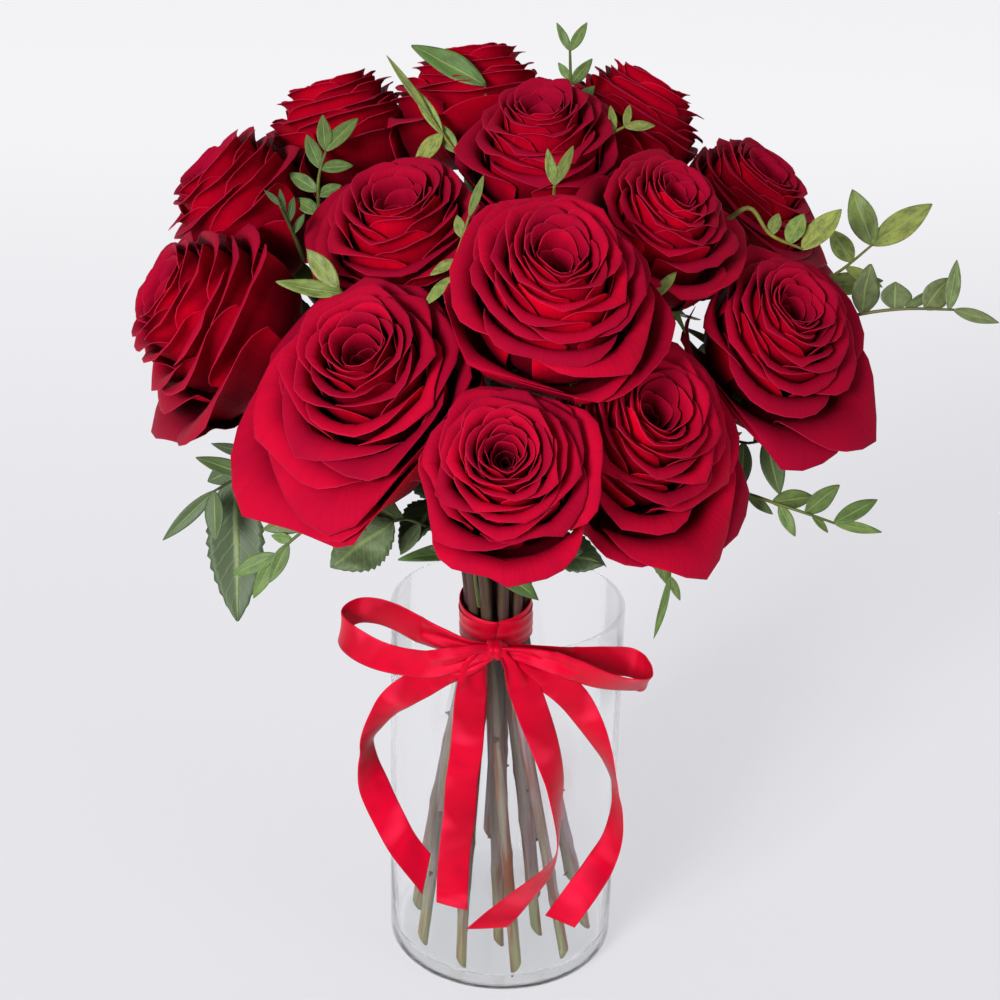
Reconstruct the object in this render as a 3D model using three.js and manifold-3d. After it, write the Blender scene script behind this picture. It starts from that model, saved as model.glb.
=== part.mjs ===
// Red roses in a glass vase: seventeen long-stemmed roses with sprigs of foliage, tied with a
// satin ribbon whose bow lies over the front of the rim.
// Millimetres. The origin is the centre of the vase's underside, +Z is up and -Y is the front.

import * as THREE from 'three';
import { mergeVertices } from 'three/addons/utils/BufferGeometryUtils.js';
import Module from 'manifold-3d';

const wasm = await Module();
wasm.setup();

// ---------------------------------------------------------------- driving dimensions

const VASE = { radius: 60, height: 200, wall: 3, floor: 7, sides: 36 };

const TIE_HEIGHT = 211;                      // middle of the ribbon band
const FOOT_CENTRE = new THREE.Vector3(0, -2, VASE.floor);
const TIE_CENTRE = new THREE.Vector3(-6, -38.5, TIE_HEIGHT);
const STEM = { radius: 2.9, sides: 6, steps: 12, cut: 1.5 };
const RINGS = [0, 6.5, 13.2];                // radii on which the stems lie at the tie
const SPLAY = 0.0105;                        // how fast the stems open below the tie, per mm
const SPIRAL = 0.0085;                       // how fast they turn about each other, per mm
const SHORT_AT_BACK = 0.7;                   // the stems at the back end this much higher per mm
const BEND = 0.42;                           // how much of its reach a stem spends on each bend

const CUP_DEPTH = 50;                        // from a rose's eye down to its hip
const HIP = { radius: 6.5, height: 8, gap: 0.6 };
const BLOOM = { sides: 15, lobes: 5, lobeDepth: 0.05, gap: 0.25, middle: 22 };

const LEAF_THICKNESS = 0.9;
const TWIG = { radius: 1.1, sides: 4, steps: 5 };

const RIBBON = { thickness: 1.2, band: 20, loose: 17.6, steps: 24 };

// Each rose: where its eye is, how far it leans from upright, towards which side (0 is the
// front, 90 the right), its radius, and its stem's place in the tie as ring and direction.
const ROSES = {
  front_left: { eye: [-60, -181, 392], lean: 39, towards: -20, radius: 41, tie: [2, -18] },
  front_centre: { eye: [-3, -220, 365], lean: 47, towards: -1, radius: 34, tie: [2, 18] },
  front_right: { eye: [57, -173, 367], lean: 44, towards: 32, radius: 38, tie: [2, 54] },
  centre: { eye: [16, -179, 430], lean: 25, towards: 12, radius: 38, tie: [1, 30] },
  right: { eye: [116, -121, 394], lean: 41, towards: 32, radius: 35, tie: [2, 90] },
  left: { eye: [-136, -121, 392], lean: 57, towards: -71, radius: 35, tie: [2, -54] },
  upper_left: { eye: [-129, -59, 426], lean: 37, towards: -85, radius: 33, tie: [2, -90] },
  mid_left: { eye: [-49, -115, 433], lean: 18, towards: -27, radius: 36, tie: [1, -30] },
  top_centre: { eye: [9, -88, 466], lean: 6, towards: -11, radius: 33, tie: [0, 0] },
  mid_right: { eye: [64, -127, 442], lean: 31, towards: 38, radius: 33, tie: [1, 90] },
  upper_right: { eye: [109, -41, 430], lean: 29, towards: 68, radius: 33, tie: [2, 126] },
  back_left: { eye: [-86, -16, 458], lean: 20, towards: -120, radius: 33, tie: [1, -90] },
  back_centre: { eye: [-23, -24, 476], lean: 12, towards: -156, radius: 33, tie: [1, -150] },
  back_right: { eye: [57, -23, 464], lean: 29, towards: 105, radius: 33, tie: [1, 150] },
  back_low_left: { eye: [-81, 66, 395], lean: 48, towards: -148, radius: 36, tie: [2, -126] },
  back_low_centre: { eye: [-3, 92, 385], lean: 51, towards: 178, radius: 36, tie: [2, -162] },
  back_low_right: { eye: [80, 55, 395], lean: 48, towards: 140, radius: 36, tie: [2, 162] },
};

// Each sprig: the route of its twig, the way its leaves face, and its leaves, each given by its
// place along the twig, its turn from the twig, its length and its width.
const SPRIGS = {
  right_long: {
    twig: [[98, -66, 352], [124, -78, 371], [149, -88, 383], [167, -92, 387], [187, -95, 388]],
    face: [0.1, -0.9, 0.4],
    leaves: [[0.5, 78, 21, 9], [0.62, 70, 22, 14], [0.76, 85, 12, 15], [0.88, 54, 17, 13],
      [0.98, 82, 22, 7], [1, -12, 20, 6], [0.8, 30, 18, 5]],
  },
  right_upper: {
    twig: [[98, -52, 358], [122, -56, 378], [143, -60, 394], [156, -62, 407]],
    face: [0, -0.9, 0.35],
    leaves: [[1, 71, 26, 13], [1, -6, 32, 13], [0.85, 84, 17, 10], [0.6, -26, 30, 11],
      [0.8, -66, 19, 6]],
  },
  right_inner: {
    twig: [[86, -96, 424], [96, -98, 431], [105, -102, 421], [119, -102, 415]],
    face: [0, -0.8, 0.6],
    leaves: [[0.65, 105, 11, 6], [0.85, 79, 15, 9], [1, 64, 24, 11]],
  },
  right_low: {
    twig: [[70, -98, 305], [99, -122, 312], [112, -133, 312], [124, -138, 310], [136, -141, 307]],
    face: [0.1, -0.8, 0.55],
    leaves: [[0.66, 38, 19, 9], [0.84, 60, 20, 9], [1, 51, 23, 8], [1, 11, 21, 5],
      [0.7, -40, 15, 6], [0.88, -26, 10, 4], [0.5, -12, 14, 5]],
  },
  right_dark: {
    twig: [[70, -80, 300], [88, -100, 328], [102, -114, 332], [108, -118, 336]],
    face: [0.15, -0.85, 0.45],
    leaves: [[1, -96, 25, 11], [0.82, -75, 20, 10], [1, -13, 19, 7], [0.6, -87, 13, 8],
      [0.9, 40, 14, 7]],
  },
  drop: {
    twig: [[52, -112, 296], [62, -132, 303], [67, -140, 297], [68, -142, 281]],
    face: [0.1, -0.95, 0.2],
    leaves: [[1, -13, 29, 4], [0.75, 80, 8, 6], [0.9, 95, 8, 5], [1, 20, 12, 4],
      [0.3, -95, 32, 11]],
  },
  rose_leaf_left: {
    twig: [[-70, -92, 308], [-94, -112, 321], [-112, -124, 323], [-119, -128, 317]],
    face: [-0.3, -0.9, 0.25],
    leaves: [[1, 43, 62, 26], [0.9, -23, 20, 11], [0.75, -15, 28, 6]],
  },
  left_outer: {
    twig: [[-92, -128, 312], [-106, -138, 320], [-116, -142, 321], [-125, -146, 317]],
    face: [-0.25, -0.85, 0.45],
    leaves: [[0.55, -21, 30, 8], [1, 9, 30, 7], [1, 60, 21, 9]],
  },
  left_inner: {
    twig: [[-62, -147, 302], [-78, -154, 311], [-88, -158, 304], [-98, -160, 295]],
    face: [-0.1, -0.9, 0.4],
    leaves: [[0.5, -23, 24, 9], [0.8, -52, 9, 5], [0.85, 24, 18, 7], [1, -17, 21, 8],
      [1, 21, 21, 7]],
  },
  rose_leaf_front: {
    twig: [[-20, -99, 268], [-34, -120, 290], [-46, -136, 302], [-51, -142, 303]],
    face: [0, -0.85, 0.5],
    leaves: [[1, 13, 32, 24], [0.9, -41, 46, 17], [0.7, 74, 16, 7]],
  },
  front_low: {
    twig: [[-14, -66, 228], [-15, -80, 242], [-16, -92, 256], [-16, -96, 271]],
    face: [0.1, -0.85, 0.5],
    leaves: [[1, 92, 35, 9], [1, -130, 37, 13]],
  },
  top: {
    twig: [[24, -52, 440], [23, -54, 456], [21, -55, 472], [20, -55, 487]],
    face: [0, -0.95, 0.2],
    leaves: [[1, 23, 13, 4], [1, -35, 14, 5], [0.74, 35, 9, 4], [0.7, -45, 14, 6],
      [0.52, 32, 8, 4], [0.48, -52, 13, 7], [0.25, 55, 15, 6]],
  },
  big_leaf: {
    twig: [[-14, -64, 446], [-15, -61, 460], [-16, -58, 472]],
    face: [0, -0.75, 0.6],
    leaves: [[1, 52, 39, 12]],
  },
  upper_mid: {
    twig: [[-16, -86, 430], [-24, -84, 444], [-32, -82, 454], [-38, -80, 462]],
    face: [0, -0.85, 0.5],
    leaves: [[1, 0, 33, 4], [0.8, -5, 24, 6], [0.55, -7, 15, 7], [0.8, 105, 19, 8],
      [0.4, -65, 11, 7]],
  },
  upper_left: {
    twig: [[-84, -78, 408], [-86, -79, 422], [-86, -78, 435], [-83, -76, 446]],
    face: [0, -0.8, 0.55],
    leaves: [[1, -20, 21, 8], [1, 25, 16, 7], [0.8, 40, 17, 7], [0.55, 58, 16, 7],
      [0.3, 50, 14, 7], [0.8, -65, 14, 7], [0.5, -65, 11, 6]],
  },
  gap_left: {
    twig: [[-90, -100, 402], [-93, -103, 412], [-96, -105, 420], [-99, -106, 427]],
    face: [0, -0.8, 0.6],
    leaves: [[1, 10, 10, 3], [0.85, -20, 12, 3], [0.7, -40, 12, 4], [0.5, -55, 10, 4]],
  },
  gap_front_left: {
    twig: [[-64, -134, 388], [-68, -140, 397], [-72, -144, 404]],
    face: [0, -0.8, 0.6],
    leaves: [[1, -12, 20, 9], [0.8, 32, 27, 8]],
  },
  gap_front: {
    twig: [[-28, -156, 402], [-26, -154, 414], [-23, -151, 425], [-20, -148, 435]],
    face: [0, -0.8, 0.6],
    leaves: [[1, 0, 18, 4], [0.75, 32, 10, 5], [0.5, 140, 12, 5], [0.3, 150, 16, 5]],
  },
  gap_centre: {
    twig: [[12, -130, 428], [13, -135, 437], [13, -139, 446]],
    face: [0, -0.8, 0.6],
    leaves: [[1, 12, 15, 5], [1, -25, 20, 5]],
  },
  gap_upper: {
    twig: [[32, -78, 444], [35, -82, 453], [43, -82, 458]],
    face: [0, -0.8, 0.6],
    leaves: [[0.5, 60, 12, 3], [0.75, 70, 13, 4], [1, 50, 11, 4], [1, -20, 13, 5]],
  },
  gap_right: {
    twig: [[60, -142, 390], [57, -147, 398], [54, -149, 404]],
    face: [0, -0.8, 0.6],
    leaves: [[1, -75, 15, 5], [1, -10, 9, 5]],
  },
  back_fill: {
    twig: [[-40, 52, 330], [-46, 72, 360], [-48, 84, 392], [-46, 84, 418]],
    face: [-0.2, 0.9, 0.3],
    leaves: [[1, 0, 22, 9], [0.85, 50, 20, 9], [0.85, -50, 20, 9], [0.6, 60, 20, 9],
      [0.6, -60, 20, 9]],
  },
};

// The ribbon's strips: middle of the strip, the way it lies across, and its width there.
const LOOP_LEFT = [
  [-6, -62, 203, 0, 0, 1, 7], [-19, -60.5, 203, 0.2, -0.2, 1, 11], [-30, -56, 204, 0.25, -0.2, 1, 14],
  [-43, -51, 207, 0.25, -0.2, 1, 16], [-54, -47, 211, 0.15, -0.2, 1, 16],
  [-64, -44, 213, 0.05, -0.25, 1, 16], [-73, -44, 213, 0, -0.3, 1, 16],
  [-79, -48, 211, 0, -0.25, 1, 16], [-81, -53, 209, 0.1, -0.15, 1, 16], [-78, -59, 207, 0.2, 0, 1, 16],
  [-71, -64, 204, 0.2, 0.1, 1, 16], [-62, -67, 201, 0.15, 0, 1, 16], [-50, -69, 199, 0.1, -0.15, 1, 16],
  [-38, -69, 198, 0.1, -0.2, 1, 16], [-26, -68, 200, 0.1, -0.25, 1, 15],
  [-15, -67, 203, 0.1, -0.3, 1, 11], [-6, -66, 204, 0.05, -0.3, 1, 7],
];
const LOOP_RIGHT = [
  [-5, -62, 203, 0, 0, 1, 7], [6, -61.5, 201, 0, 0, 1, 11], [18, -59, 197.5, 0, 0, 1, 14],
  [32, -55, 194, 0, 0, 1, 16], [47, -52, 193, 0, 0, 1, 16], [60, -50, 191.5, 0, 0, 1, 16],
  [66, -53, 190, 0.05, -0.15, 1, 16], [69, -58, 188.5, 0.1, -0.5, 1, 16],
  [67, -63.5, 187, 0.2, -0.8, 0.8, 16], [58, -67, 188, 0.2, -0.8, 0.9, 16],
  [46, -69, 191, 0.15, -0.6, 1, 16], [34, -70, 196, 0.1, -0.4, 1, 16], [22, -69, 200, 0.1, -0.35, 1, 15],
  [10, -68, 203, 0.1, -0.3, 1, 11], [-4, -66, 204, 0.05, -0.3, 1, 7],
];
const TAIL_LEFT = [
  [-6, -64, 203.5, -0.25, 0, 1, 7], [-18, -66, 198, -0.3, 0, 0.95, 13], [-30, -66.5, 193, -0.25, -0.1, 1, 16],
  [-41, -66, 186, -0.25, 0, 1, 16], [-52, -64, 177, -0.3, -0.2, 0.9, 16],
  [-59, -62, 168, -0.35, -0.5, 0.8, 16], [-65, -61, 157, -0.3, -0.7, 0.7, 16],
  [-68, -60, 147, -0.2, -0.85, 0.45, 16], [-67.5, -59.5, 135, -0.6, -0.8, 0.2, 16],
  [-64, -60, 122, -0.95, -0.35, -0.05, 16], [-57, -61.5, 106, -0.9, -0.2, -0.4, 16],
  [-50, -63.5, 93, -0.8, -0.25, -0.6, 16], [-43, -65, 83, -0.8, -0.25, -0.6, 16],
];
const TAIL_RIGHT = [
  [-5, -64, 203.5, 0.2, 0, 1, 7], [9, -66, 198, 0.3, 0, 0.95, 13], [21, -66, 190, 0.3, 0, 0.95, 16],
  [32, -64, 179, 0.4, -0.1, 0.9, 16], [40, -62.5, 166, 0.35, -0.4, 0.85, 16],
  [47, -61, 151, 0.25, -0.65, 0.7, 16], [52, -60, 138, 0.15, -0.8, 0.55, 16],
  [55.5, -60, 126, 0.1, -0.9, 0.4, 16], [57, -60.5, 113, 0.25, -0.85, 0.4, 16],
  [55, -62, 97, 0.55, -0.8, 0.2, 16], [49, -65, 84, 0.8, -0.6, -0.1, 16],
  [41, -68, 71, 0.8, -0.55, -0.3, 16], [30, -71, 54, 0.75, -0.55, -0.35, 16],
];
const HANGING_PAIR = [
  [-25, -63.5, 56, -1, 0, 0.1, 16], [-24, -63.5, 89, -1, 0, 0.1, 16], [-22, -64, 110, -1, 0, 0, 16],
  [-20, -65, 140, -1, 0, 0, 16], [-18, -66.5, 165, -1, 0, 0, 16], [-16, -68.5, 181, -1, 0, 0, 15],
  [-12, -68.8, 190, -1, 0, -0.3, 10], [-6, -68.8, 195.5, -0.3, 0.1, -1, 6],
  [1, -68.8, 191, -1, 0.1, -0.5, 9], [7, -69, 183, -1, 0, -0.2, 14], [14, -69.3, 169, -1, 0, -0.1, 16],
  [20, -69, 153, -0.85, -0.5, 0.1, 16], [25, -68, 135, -0.55, -0.8, 0.25, 16],
  [27.5, -67.5, 112, -0.2, -0.9, 0.4, 16], [27, -67.5, 93, -0.1, -0.9, 0.45, 16],
  [21, -69, 80, -0.4, -0.7, 0.6, 16], [8, -71.5, 66, -0.6, -0.45, 0.65, 16],
  [-7, -74, 51, -0.55, -0.2, 0.8, 16],
];
const KNOT = { centre: [-5.5, -62.5, 204.3], radii: [5.5, 8, 4.4] };

// ---------------------------------------------------------------- materials

const glass = new THREE.MeshStandardMaterial({ color: 0xe4eaec, roughness: 0.03, metalness: 0 });
const petal = new THREE.MeshStandardMaterial({ color: 0x9a0319, roughness: 0.75, metalness: 0 });
const bark = new THREE.MeshStandardMaterial({ color: 0x4a2e26, roughness: 0.65, metalness: 0 });
const leaf = new THREE.MeshStandardMaterial({ color: 0x4f6b2c, roughness: 0.6, metalness: 0 });
const satin = new THREE.MeshStandardMaterial({ color: 0xdb0a2c, roughness: 0.35, metalness: 0 });

// ---------------------------------------------------------------- solids and booleans

// A closed solid from a geometry; faces that the axis of a lathe has flattened are left out.
function solidOf(geometry) {
  const plain = geometry.clone();
  plain.deleteAttribute('normal');
  plain.deleteAttribute('uv');
  const merged = mergeVertices(plain, 1e-3);
  const corners = merged.index.array;
  const triangles = [];
  for (let i = 0; i < corners.length; i += 3) {
    const [a, b, c] = corners.slice(i, i + 3);
    if (a !== b && b !== c && c !== a) triangles.push(a, b, c);
  }
  return new wasm.Manifold(new wasm.Mesh({
    numProp: 3,
    vertProperties: new Float32Array(merged.attributes.position.array),
    triVerts: new Uint32Array(triangles),
  }));
}

function geometryOf(solid) {
  const result = solid.getMesh();
  const geometry = new THREE.BufferGeometry();
  geometry.setAttribute('position', new THREE.BufferAttribute(result.vertProperties, 3));
  geometry.setIndex(new THREE.BufferAttribute(result.triVerts, 1));
  geometry.computeVertexNormals();
  return geometry;
}

function joined(solids) {
  return solids.reduce((whole, next) => whole.add(next));
}

// The biggest piece left after a cut.
function biggest(solid) {
  return solid.decompose().sort((a, b) => b.volume() - a.volume())[0];
}

function moveCorners(geometry, move) {
  const corners = geometry.attributes.position;
  const corner = new THREE.Vector3();
  for (let i = 0; i < corners.count; i += 1) {
    corner.fromBufferAttribute(corners, i);
    move(corner);
    corners.setXYZ(i, corner.x, corner.y, corner.z);
  }
  return geometry;
}

// ---------------------------------------------------------------- directions

function vector(numbers) {
  return new THREE.Vector3(...numbers);
}

// A level offset from the middle: distance, and direction in degrees from the front to the right.
function levelOffset(distance, direction) {
  const angle = THREE.MathUtils.degToRad(direction);
  return new THREE.Vector3(distance * Math.sin(angle), -distance * Math.cos(angle), 0);
}

function facing(rose) {
  const lean = THREE.MathUtils.degToRad(rose.lean);
  return levelOffset(Math.sin(lean), rose.towards).setZ(Math.cos(lean));
}

// A turn that stands +Y along the given axis.
function standAlong(axis) {
  return new THREE.Quaternion().setFromUnitVectors(new THREE.Vector3(0, 1, 0), axis);
}

// ---------------------------------------------------------------- vase

function vaseGeometry() {
  const { radius, height, wall, floor, sides } = VASE;
  const inside = radius - wall;
  const profile = [
    [0, 0], [radius - 7, 0], [radius - 2.5, 1], [radius, 4], [radius, height - 1.4],
    [radius - 0.8, height], [inside + 0.8, height], [inside, height - 1.2], [inside, floor + 4],
    [inside - 4, floor], [0, floor],
  ];
  const outline = profile.map(([r, z]) => new THREE.Vector2(r, z));
  return new THREE.LatheGeometry(outline, sides).rotateX(Math.PI / 2);
}

// ---------------------------------------------------------------- roses

// A rose head on +Y with its eye at the origin: hip, cup of petals, rolled rim and sunken eye.
function bloomGeometry(radius) {
  const r = radius;
  const profile = [
    [0, -CUP_DEPTH - HIP.height + HIP.gap], [3.2, -CUP_DEPTH - HIP.height + HIP.gap],
    [HIP.radius, -CUP_DEPTH - 4], [HIP.radius, -CUP_DEPTH], [0.52 * r, -0.84 * CUP_DEPTH],
    [0.84 * r, -0.52 * CUP_DEPTH], [r, -10], [0.93 * r, -1], [0.6 * r, 3], [0.3 * r, 1], [0, -7],
  ];
  const cup = new THREE.LatheGeometry(profile.map(([x, y]) => new THREE.Vector2(x, y)), BLOOM.sides);
  return moveCorners(cup, (corner) => {
    const reach = Math.hypot(corner.x, corner.z) / r;
    const lobe = 1 + BLOOM.lobeDepth * reach * Math.cos(BLOOM.lobes * Math.atan2(corner.z, corner.x));
    corner.x *= lobe;
    corner.z *= lobe;
  });
}

function bloomSolid(rose, extra = 0) {
  const head = bloomGeometry(rose.radius + extra);
  head.applyQuaternion(standAlong(facing(rose)));
  head.translate(...rose.eye);
  return solidOf(head);
}

// Cuts a head back to its own side of the plane half-way to a neighbour.
function trimAgainst(solid, rose, neighbour) {
  const middle = (one) => vector(one.eye).addScaledVector(facing(one), -BLOOM.middle);
  const here = middle(rose);
  const there = middle(neighbour);
  const between = here.distanceTo(there);
  if (between > rose.radius + neighbour.radius + 8) return solid;
  const reach = 2 * (CUP_DEPTH + rose.radius);
  const outward = there.clone().sub(here).normalize();
  const share = rose.radius / (rose.radius + neighbour.radius);
  const wall = new THREE.BoxGeometry(reach, reach, reach);
  wall.translate(0, reach / 2 + between * share - BLOOM.gap, 0);
  wall.applyQuaternion(standAlong(outward));
  wall.translate(...here.toArray());
  return solid.subtract(solidOf(wall));
}

// ---------------------------------------------------------------- stems

// Where a stem is at a height at or below the tie: straight lines that spread and spiral.
function belowTie(place, height) {
  const drop = TIE_HEIGHT - height;
  const share = drop / (TIE_HEIGHT - VASE.floor);
  const centre = TIE_CENTRE.clone().lerp(FOOT_CENTRE, share);
  const grow = 1 + SPLAY * drop;
  const turn = SPIRAL * drop;
  return new THREE.Vector3(
    centre.x + grow * place.x - turn * place.y,
    centre.y + grow * place.y + turn * place.x,
    height,
  );
}

function stemRoute(rose) {
  const place = levelOffset(RINGS[rose.tie[0]], rose.tie[1]);
  const onFloor = belowTie(place, VASE.floor);
  const footHeight = VASE.floor + STEM.cut + SHORT_AT_BACK * Math.max(0, onFloor.y);
  const foot = belowTie(place, footHeight);
  const tied = belowTie(place, TIE_HEIGHT);
  const upward = TIE_CENTRE.clone().sub(FOOT_CENTRE).normalize();
  const axis = facing(rose);
  const hip = vector(rose.eye).addScaledVector(axis, -CUP_DEPTH - HIP.height);
  const bend = BEND * tied.distanceTo(hip);
  const upper = new THREE.CubicBezierCurve3(
    tied, tied.clone().addScaledVector(upward, bend), hip.clone().addScaledVector(axis, -bend), hip,
  );
  return new THREE.CatmullRomCurve3(
    [foot, foot.clone().lerp(tied, 0.5), ...upper.getPoints(6)],
  );
}

function roundSection(radius, sides) {
  const section = new THREE.Shape();
  for (let i = 0; i < sides; i += 1) {
    const angle = (2 * Math.PI * i) / sides;
    const x = radius * Math.cos(angle);
    const y = radius * Math.sin(angle);
    if (i === 0) section.moveTo(x, y);
    else section.lineTo(x, y);
  }
  return section;
}

function rodAlong(route, { radius, sides, steps }) {
  return new THREE.ExtrudeGeometry(roundSection(radius, sides), { steps, extrudePath: route });
}

// ---------------------------------------------------------------- foliage

// A pointed leaf plate that starts at the origin and lies along +X.
function leafGeometry(length, width) {
  const half = width / 2;
  const outline = new THREE.Shape();
  outline.moveTo(-0.6, 0);
  for (const [x, y] of [[0.3, -0.9], [0.7, -0.9]]) outline.lineTo(x * length, y * half);
  outline.lineTo(length, 0);
  for (const [x, y] of [[0.7, 0.9], [0.3, 0.9]]) outline.lineTo(x * length, y * half);
  const plate = new THREE.ExtrudeGeometry(outline, { depth: LEAF_THICKNESS, bevelEnabled: false });
  return plate.translate(0, 0, -LEAF_THICKNESS / 2);
}

function sprigSolid(sprig) {
  const route = new THREE.CatmullRomCurve3(sprig.twig.map(vector));
  const face = vector(sprig.face).normalize();
  const pieces = [solidOf(rodAlong(route, TWIG))];
  for (const [at, turn, length, width] of sprig.leaves) {
    const along = route.getTangentAt(at);
    along.addScaledVector(face, -along.dot(face)).normalize();
    along.applyAxisAngle(face, THREE.MathUtils.degToRad(turn));
    const across = face.clone().cross(along);
    const place = new THREE.Matrix4().makeBasis(along, across, face).setPosition(route.getPointAt(at));
    pieces.push(solidOf(leafGeometry(length, width).applyMatrix4(place)));
  }
  return joined(pieces);
}

// ---------------------------------------------------------------- ribbon

// A flat strip bent along a list of places; each says how the strip lies across there.
function stripSolid(places) {
  const middle = new THREE.CatmullRomCurve3(places.map((p) => vector(p.slice(0, 3))));
  const lie = new THREE.CatmullRomCurve3(
    places.map((p) => vector(p.slice(3, 6)).setLength(p[6])),
  );
  const strip = new THREE.BoxGeometry(1, 1, RIBBON.thickness, RIBBON.steps, 1, 1);
  moveCorners(strip, (corner) => {
    const t = corner.x + 0.5;
    const along = middle.getTangent(t);
    const across = lie.getPoint(t);
    const width = across.length();
    across.addScaledVector(along, -across.dot(along)).setLength(width);
    const face = along.clone().cross(across).normalize();
    const place = middle.getPoint(t).addScaledVector(across, corner.y).addScaledVector(face, corner.z);
    corner.copy(place);
  });
  return solidOf(strip);
}

function bandSolid() {
  const low = -RIBBON.band / 2;
  const inner = RIBBON.loose;
  const outer = RIBBON.loose + RIBBON.thickness;
  const section = [[inner, low], [outer, low], [outer, -low], [inner, -low], [inner, low]];
  const band = new THREE.LatheGeometry(section.map(([r, y]) => new THREE.Vector2(r, y)), 20);
  band.applyQuaternion(standAlong(TIE_CENTRE.clone().sub(FOOT_CENTRE).normalize()));
  band.translate(...TIE_CENTRE.toArray());
  return solidOf(band);
}

function knotSolid() {
  const knot = new THREE.SphereGeometry(1, 10, 6).scale(...KNOT.radii).translate(...KNOT.centre);
  return solidOf(knot);
}

// ---------------------------------------------------------------- the bouquet

const bouquet = new THREE.Group();

function place(name, geometry, material) {
  const mesh = new THREE.Mesh(geometry, material);
  mesh.name = name;
  bouquet.add(mesh);
}

place('vase', vaseGeometry(), glass);

const clearOfHeads = [];
for (const [name, rose] of Object.entries(ROSES)) {
  let head = bloomSolid(rose);
  for (const [otherName, other] of Object.entries(ROSES)) {
    if (otherName !== name) head = trimAgainst(head, rose, other);
  }
  place(`bloom_${name}`, geometryOf(biggest(head)), petal);
  place(`stem_${name}`, rodAlong(stemRoute(rose), STEM), bark);
  clearOfHeads.push(bloomSolid(rose, 0.5));
}

for (const [name, sprig] of Object.entries(SPRIGS)) {
  const cut = clearOfHeads.reduce((rest, head) => rest.subtract(head), sprigSolid(sprig));
  place(`sprig_${name}`, geometryOf(biggest(cut)), leaf);
}

const bow = [bandSolid(), knotSolid(), ...[LOOP_LEFT, LOOP_RIGHT, TAIL_LEFT, TAIL_RIGHT].map(stripSolid)];
place('ribbon_bow', geometryOf(biggest(joined(bow))), satin);
place('ribbon_hanging_pair', geometryOf(stripSolid(HANGING_PAIR)), satin);

export default bouquet;
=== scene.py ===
# Red roses in a clear glass vase, tied with a satin ribbon: the finished looks.
# Metres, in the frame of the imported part: the origin is the centre of the vase's underside, +Z is up
# and -Y is the front.

import math
import random

import bpy
import numpy as np
from mathutils import Matrix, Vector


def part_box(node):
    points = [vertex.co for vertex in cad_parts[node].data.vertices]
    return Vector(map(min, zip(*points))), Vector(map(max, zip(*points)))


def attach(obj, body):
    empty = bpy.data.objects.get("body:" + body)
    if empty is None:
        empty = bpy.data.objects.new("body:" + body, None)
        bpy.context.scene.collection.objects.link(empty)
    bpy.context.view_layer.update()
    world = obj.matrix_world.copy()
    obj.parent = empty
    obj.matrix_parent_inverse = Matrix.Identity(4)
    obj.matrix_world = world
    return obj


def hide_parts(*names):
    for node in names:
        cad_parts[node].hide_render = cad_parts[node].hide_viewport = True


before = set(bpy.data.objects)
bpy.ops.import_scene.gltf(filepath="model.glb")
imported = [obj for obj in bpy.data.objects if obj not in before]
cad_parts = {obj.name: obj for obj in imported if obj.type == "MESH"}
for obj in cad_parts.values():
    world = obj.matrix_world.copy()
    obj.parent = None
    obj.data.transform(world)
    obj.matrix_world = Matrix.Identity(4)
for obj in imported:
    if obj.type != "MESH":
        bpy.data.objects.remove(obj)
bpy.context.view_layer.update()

MM = 0.001
FULL_TURN = 2 * math.pi
GOLDEN_TURN = math.radians(137.5)

# ---- places shared with the solid part

FOOT_CENTRE = np.array([0.0, -2.0, 7.0])
TIE_CENTRE = np.array([-6.0, -38.5, 211.0])
RINGS = [0.0, 6.5, 13.2]
SPLAY = 0.0105
SPIRAL = 0.0085
SHORT_AT_BACK = 0.7
BEND = 0.42
HIP_TOP = -47.0  # the top and the bottom of a rose's hip, along its axis from the eye
HIP_END = -57.4

# Each rose: its eye, its lean from upright, the side it leans towards (0 front, 90 right), its
# radius, and its stem's ring and direction in the tie.
ROSES = {
    "front_left": ((-60, -181, 392), 39, -20, 41, (2, -18)),
    "front_centre": ((-3, -220, 365), 47, -1, 34, (2, 18)),
    "front_right": ((57, -173, 367), 44, 32, 38, (2, 54)),
    "centre": ((16, -179, 430), 25, 12, 38, (1, 30)),
    "right": ((116, -121, 394), 41, 32, 35, (2, 90)),
    "left": ((-136, -121, 392), 57, -71, 35, (2, -54)),
    "upper_left": ((-129, -59, 426), 37, -85, 33, (2, -90)),
    "mid_left": ((-49, -115, 433), 18, -27, 36, (1, -30)),
    "top_centre": ((9, -88, 466), 6, -11, 33, (0, 0)),
    "mid_right": ((64, -127, 442), 31, 38, 33, (1, 90)),
    "upper_right": ((109, -41, 430), 29, 68, 33, (2, 126)),
    "back_left": ((-86, -16, 458), 20, -120, 33, (1, -90)),
    "back_centre": ((-23, -24, 476), 12, -156, 33, (1, -150)),
    "back_right": ((57, -23, 464), 29, 105, 33, (1, 150)),
    "back_low_left": ((-81, 66, 395), 48, -148, 36, (2, -126)),
    "back_low_centre": ((-3, 92, 385), 51, 178, 36, (2, -162)),
    "back_low_right": ((80, 55, 395), 48, 140, 36, (2, 162)),
}

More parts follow.
